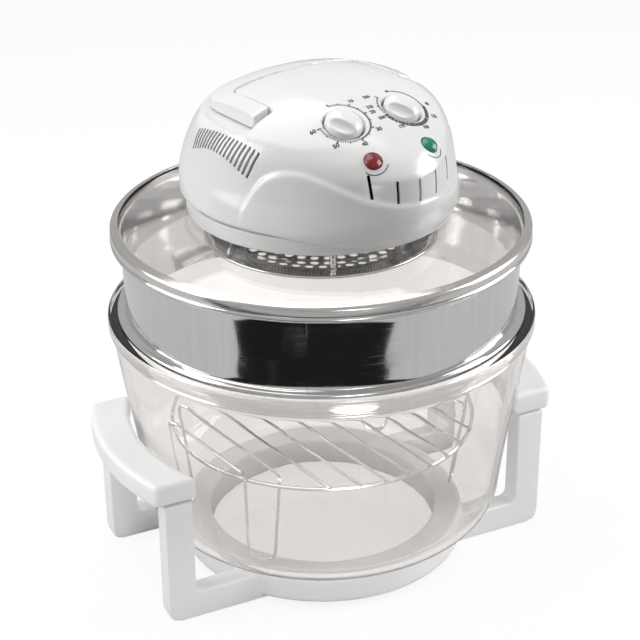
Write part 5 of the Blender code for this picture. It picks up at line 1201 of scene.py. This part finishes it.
# Length and width of the timer's ticks, and where each ten minutes stand on its scale
TEN_TICK, FIVE_TICK, TICK = (3.1, 0.95), (2.2, 0.8), (1.4, 0.7)
TIMER_ANGLES = (-1, 45, 84, 128, 174, 227, 276)
# Number, angle, distance from the scale's centre
TIMER_NUMBERS = (("10", 46, 26.0), ("20", 87, 26.8), ("30", 129, 25.6), ("40", 176, 24.4),
                 ("50", 227, 24.2), ("60", 275, 25.4))
HEAT_NUMBERS = (("65", 88, 27.0), ("125", 118, 26.6), ("150", 165, 24.0), ("175", 218, 24.2),
                ("200", 255, 25.4), ("225", 285, 26.6), ("250", 311, 27.4))


def thicken():
    """Gives flat ink its thickness."""
    bpy.ops.mesh.extrude_region_move(TRANSFORM_OT_translate={"value": (0, 0, INK_THICK * MM)})


def strip(radius, start, end, width, centre=SCALE_CENTRE):
    """A flat strip bent round a centre."""
    clear_selection()
    steps = max(2, int(abs(end - start) / 3))
    bpy.ops.mesh.primitive_grid_add(x_subdivisions=steps, y_subdivisions=3, size=2.0)
    item = named("scale_strip")
    for vertex in item.data.vertices:
        angle = math.radians(start + (end - start) * (vertex.co.x + 1) / 2)
        reach = radius + width / 2 * vertex.co.y
        x, y = centre[0] + reach * math.sin(angle), centre[1] + reach * math.cos(angle)
        vertex.co = Vector((x, y, 0.0)) * MM
    edit_all(item)
    thicken()
    bpy.ops.object.mode_set(mode="OBJECT")
    return item


def tick(angle, length, width):
    """A short line standing out from the scale's circle."""
    half = math.degrees(width / 2 / SCALE_RADIUS)
    return strip(SCALE_RADIUS + length / 2, angle - half, angle + half, length)


def number(text, angle, radius, size):
    clear_selection()
    bpy.ops.object.text_add()
    label = named("number_" + text)
    label.data.body = text
    label.data.size = size * MM
    label.data.align_x = "CENTER"
    label.data.align_y = "CENTER"
    label.data.resolution_u = 3
    label.data.offset = 0.12 * MM
    only(label)
    bpy.ops.object.convert(target="MESH")
    label = bpy.context.active_object
    turn = math.radians(angle)
    label.data.transform(moved(SCALE_CENTRE[0] + radius * math.sin(turn),
                               SCALE_CENTRE[1] + radius * math.cos(turn), 0))
    edit_all(label)
    bpy.ops.mesh.remove_doubles(threshold=1e-6)
    thicken()
    face_outwards()
    return label


def timer_scale():
    marks = []
    for minute in range(61):
        ten = min(minute // 10, 5)
        low, high = TIMER_ANGLES[ten], TIMER_ANGLES[ten + 1]
        angle = low + (high - low) * (minute - 10 * ten) / 10
        size = TEN_TICK if minute % 10 == 0 else FIVE_TICK if minute % 5 == 0 else TICK
        marks.append(tick(angle, *size))
    marks.append(strip(SCALE_RADIUS + 0.3, 84, 174, 0.6))
    return marks + [number(*mark, 4.8) for mark in TIMER_NUMBERS]


def heat_scale():
    line, band = SCALE_RADIUS + 0.6, SCALE_RADIUS + 1.3
    marks = [strip(SCALE_RADIUS + 0.8, -3, 5, 2.2), strip(line, 8, 92, 0.75), strip(band, 95, 136, 2.9)]
    for step in range(15):
        start = 139 + step * 8.0
        marks.append(strip(band, start, start + (6.4 if step % 3 else 7.2), 2.9))
    for step in range(9):
        start = 262 + step * 6.6
        marks.append(strip(line, start, start + 3.8, 1.1))
    marks.append(tick(320, 3.0, 0.5))
    marks += [tick(angle, 2.3, 0.5) for angle in (92, 123, 166, 220, 257, 286)]
    return marks + [number(*mark, 4.0) for mark in HEAT_NUMBERS]


def lamp_arc(start, end):
    return [strip(LAMP_ARC_RADIUS, start, end, 0.6, LAMP_ARC_CENTRE)]


def lay_on_skin(item, skin, place):
    """Drops a flat mark on the cover along its own upright, keeping its small thickness."""
    upright = (place.to_3x3() @ Vector((0, 0, 1))).normalized()
    for vertex in item.data.vertices:
        over = place @ Vector((vertex.co.x, vertex.co.y, 0.02))
        hit, normal, _, _ = skin.ray_cast(over, -upright)
        lift = INK_LIFT + (INK_THICK if vertex.co.z > INK_THICK * MM / 2 else 0.0)
        vertex.co = hit + normal * lift * MM
    item.data.update()


def make_scales():
    skin = true_surface(cover)
    for name, marks, place in (("timer_scale", timer_scale(), knob_place(-1)),
                               ("temperature_scale", heat_scale(), knob_place(1)),
                               ("power_lamp_arc", lamp_arc(127, 242), lens_place(-1)),
                               ("heat_lamp_arc", lamp_arc(108, 226), lens_place(1))):
        scale = join(name, marks)
        lay_on_skin(scale, skin, HEAD_TURN @ place)
        finished(scale, "lid", "black_plastic", MARK_INK)


make_guard()
make_lower_plate()
make_lamp()
make_screws()
make_inlet()
make_scales()


# Inner parts that keep their plain shape get their own surfaces

def dressed(paint, *names):
    for name in names:
        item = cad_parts[name]
        item.data.materials.clear()
        item.data.materials.append(paint)


dressed(PLATE_STEEL, "chassis_plate", "bearing_strap_lower", "bearing_strap_upper")
dressed(CORE_STEEL, "motor_core")
dressed(COIL_COPPER, "motor_coil")
dressed(SCREW_STEEL, "motor_post_1", "motor_post_2", "motor_post_3", "motor_post_4", "rotor_shaft",
        "timer_shaft", "temperature_shaft", "handle_pin_left", "handle_pin_right")
dressed(FAN_METAL, "convection_fan", "cooling_fan")
dressed(CASE_GREY, "timer_unit", "thermostat_unit")
dressed(BLACK_PLASTIC, "safety_switch")
dressed(PLUNGER_RED, "switch_plunger")
dressed(BULB_GLASS, "power_lamp_bulb", "heat_lamp_bulb")


# Room: a pale floor, soft lamps at both sides, above and low in front, and a dark card to be reflected

FLOOR_BOUNCE, FLOOR_GLOW, FLOOR_MIRRORED = 0.36, 0.86, 0.32
ROOM_GREY, ROOM_MIRRORED = 0.27, 0.35
CARD_CORNERS = ((-0.33, -0.254), (-0.138, -0.433), (-1.54, -0.05), (0.883, -1.164))


def grey(level):
    return level, level, level, 1.0


def seen_share(tree, mirrored_part):
    """One where the camera looks, also through glass, and a part of it in reflections."""
    light = node(tree, "LightPath")
    looked, most = node(tree, "Math", operation="MAXIMUM"), node(tree, "Math", operation="MAXIMUM")
    mirrored = node(tree, "Math", operation="MULTIPLY")
    mirrored.inputs[1].default_value = mirrored_part
    wire_up(tree, (light.outputs["Is Camera Ray"], looked.inputs[0]),
            (light.outputs["Is Transmission Ray"], looked.inputs[1]),
            (light.outputs["Is Glossy Ray"], mirrored.inputs[0]), (looked.outputs["Value"], most.inputs[0]),
            (mirrored.outputs["Value"], most.inputs[1]))
    return most.outputs["Value"]


def mix_shaders(tree, share, first, second):
    mix = node(tree, "MixShader")
    wire_up(tree, (share, mix.inputs["Fac"]), (first.outputs[0], mix.inputs[1]),
            (second.outputs[0], mix.inputs[2]))
    return mix


def floor_paint():
    """White where it is looked at, and plain where it only passes light on. It keeps the shadow."""
    made, tree, out = bare_paint("floor_white")
    share = seen_share(tree, FLOOR_MIRRORED)
    part = node(tree, "Math", operation="MULTIPLY")
    part.inputs[1].default_value = FLOOR_GLOW
    wire_up(tree, (share, part.inputs[0]))
    lit = mix_shaders(tree, part.outputs["Value"], node(tree, "BsdfDiffuse", Color=grey(0.95)),
                      node(tree, "Emission", Strength=1.0))
    mixed = mix_shaders(tree, share, node(tree, "BsdfDiffuse", Color=grey(FLOOR_BOUNCE)), lit)
    wire_up(tree, (mixed.outputs["Shader"], out.inputs["Surface"]))
    return made


def make_card():
    """A dark card that lies on the floor and shows only in reflections."""
    bpy.ops.mesh.primitive_plane_add(size=1.0)
    card = named("dark_card")
    for vertex, place in zip(card.data.vertices, CARD_CORNERS):
        vertex.co = (*place, 0.002)
    black, _, surface = paint_base("card_black")
    fill(surface, Base_Color=(0.012, 0.011, 0.01, 1), Roughness=0.9, Specular_IOR_Level=0.0)
    card.data.materials.append(black)
    card.visible_camera = False
    card.visible_diffuse = False
    card.visible_shadow = False
    card.visible_transmission = False


def make_room():
    clear_selection()
    bpy.ops.mesh.primitive_plane_add(size=14.0, location=(0, 0, 0))
    floor = named("pale_floor")
    floor.data.materials.append(floor_paint())
    clear_selection()
    make_card()
    world = bpy.context.scene.world or bpy.data.worlds.new("room")
    bpy.context.scene.world = world
    world.use_nodes = True
    tree = world.node_tree
    tree.nodes.clear()
    mixed = mix_shaders(tree, seen_share(tree, ROOM_MIRRORED),
                        node(tree, "Background", Color=grey(1.0), Strength=ROOM_GREY),
                        node(tree, "Background", Color=grey(1.0), Strength=1.0))
    wire_up(tree, (mixed.outputs["Shader"], node(tree, "OutputWorld").inputs["Surface"]))


def soft_lamp(name, where, aim, size, power, spread=180):
    clear_selection()
    bpy.ops.object.light_add(type="AREA", location=where)
    lamp = named(name)
    lamp.data.shape = "RECTANGLE"
    lamp.data.size, lamp.data.size_y = size
    lamp.data.energy = power
    lamp.data.spread = math.radians(spread)
    lamp.rotation_euler = (Vector(aim) - Vector(where)).to_track_quat("-Z", "Y").to_euler()


bpy.context.scene.view_settings.view_transform = "Standard"
make_room()
soft_lamp("top_box", (-0.15, 0.45, 2.1), (0, 0, 0.3), (2.2, 1.8), 26)
soft_lamp("left_box", (-1.75, 0.45, 1.0), (0, 0, 0.25), (1.4, 1.5), 24)
soft_lamp("right_box", (1.75, -0.55, 1.0), (0, 0, 0.25), (1.2, 1.4), 27)
soft_lamp("low_box", (-0.25, -1.6, 0.16), (0, 0, 0.0), (1.6, 0.25), 0.7, 28)
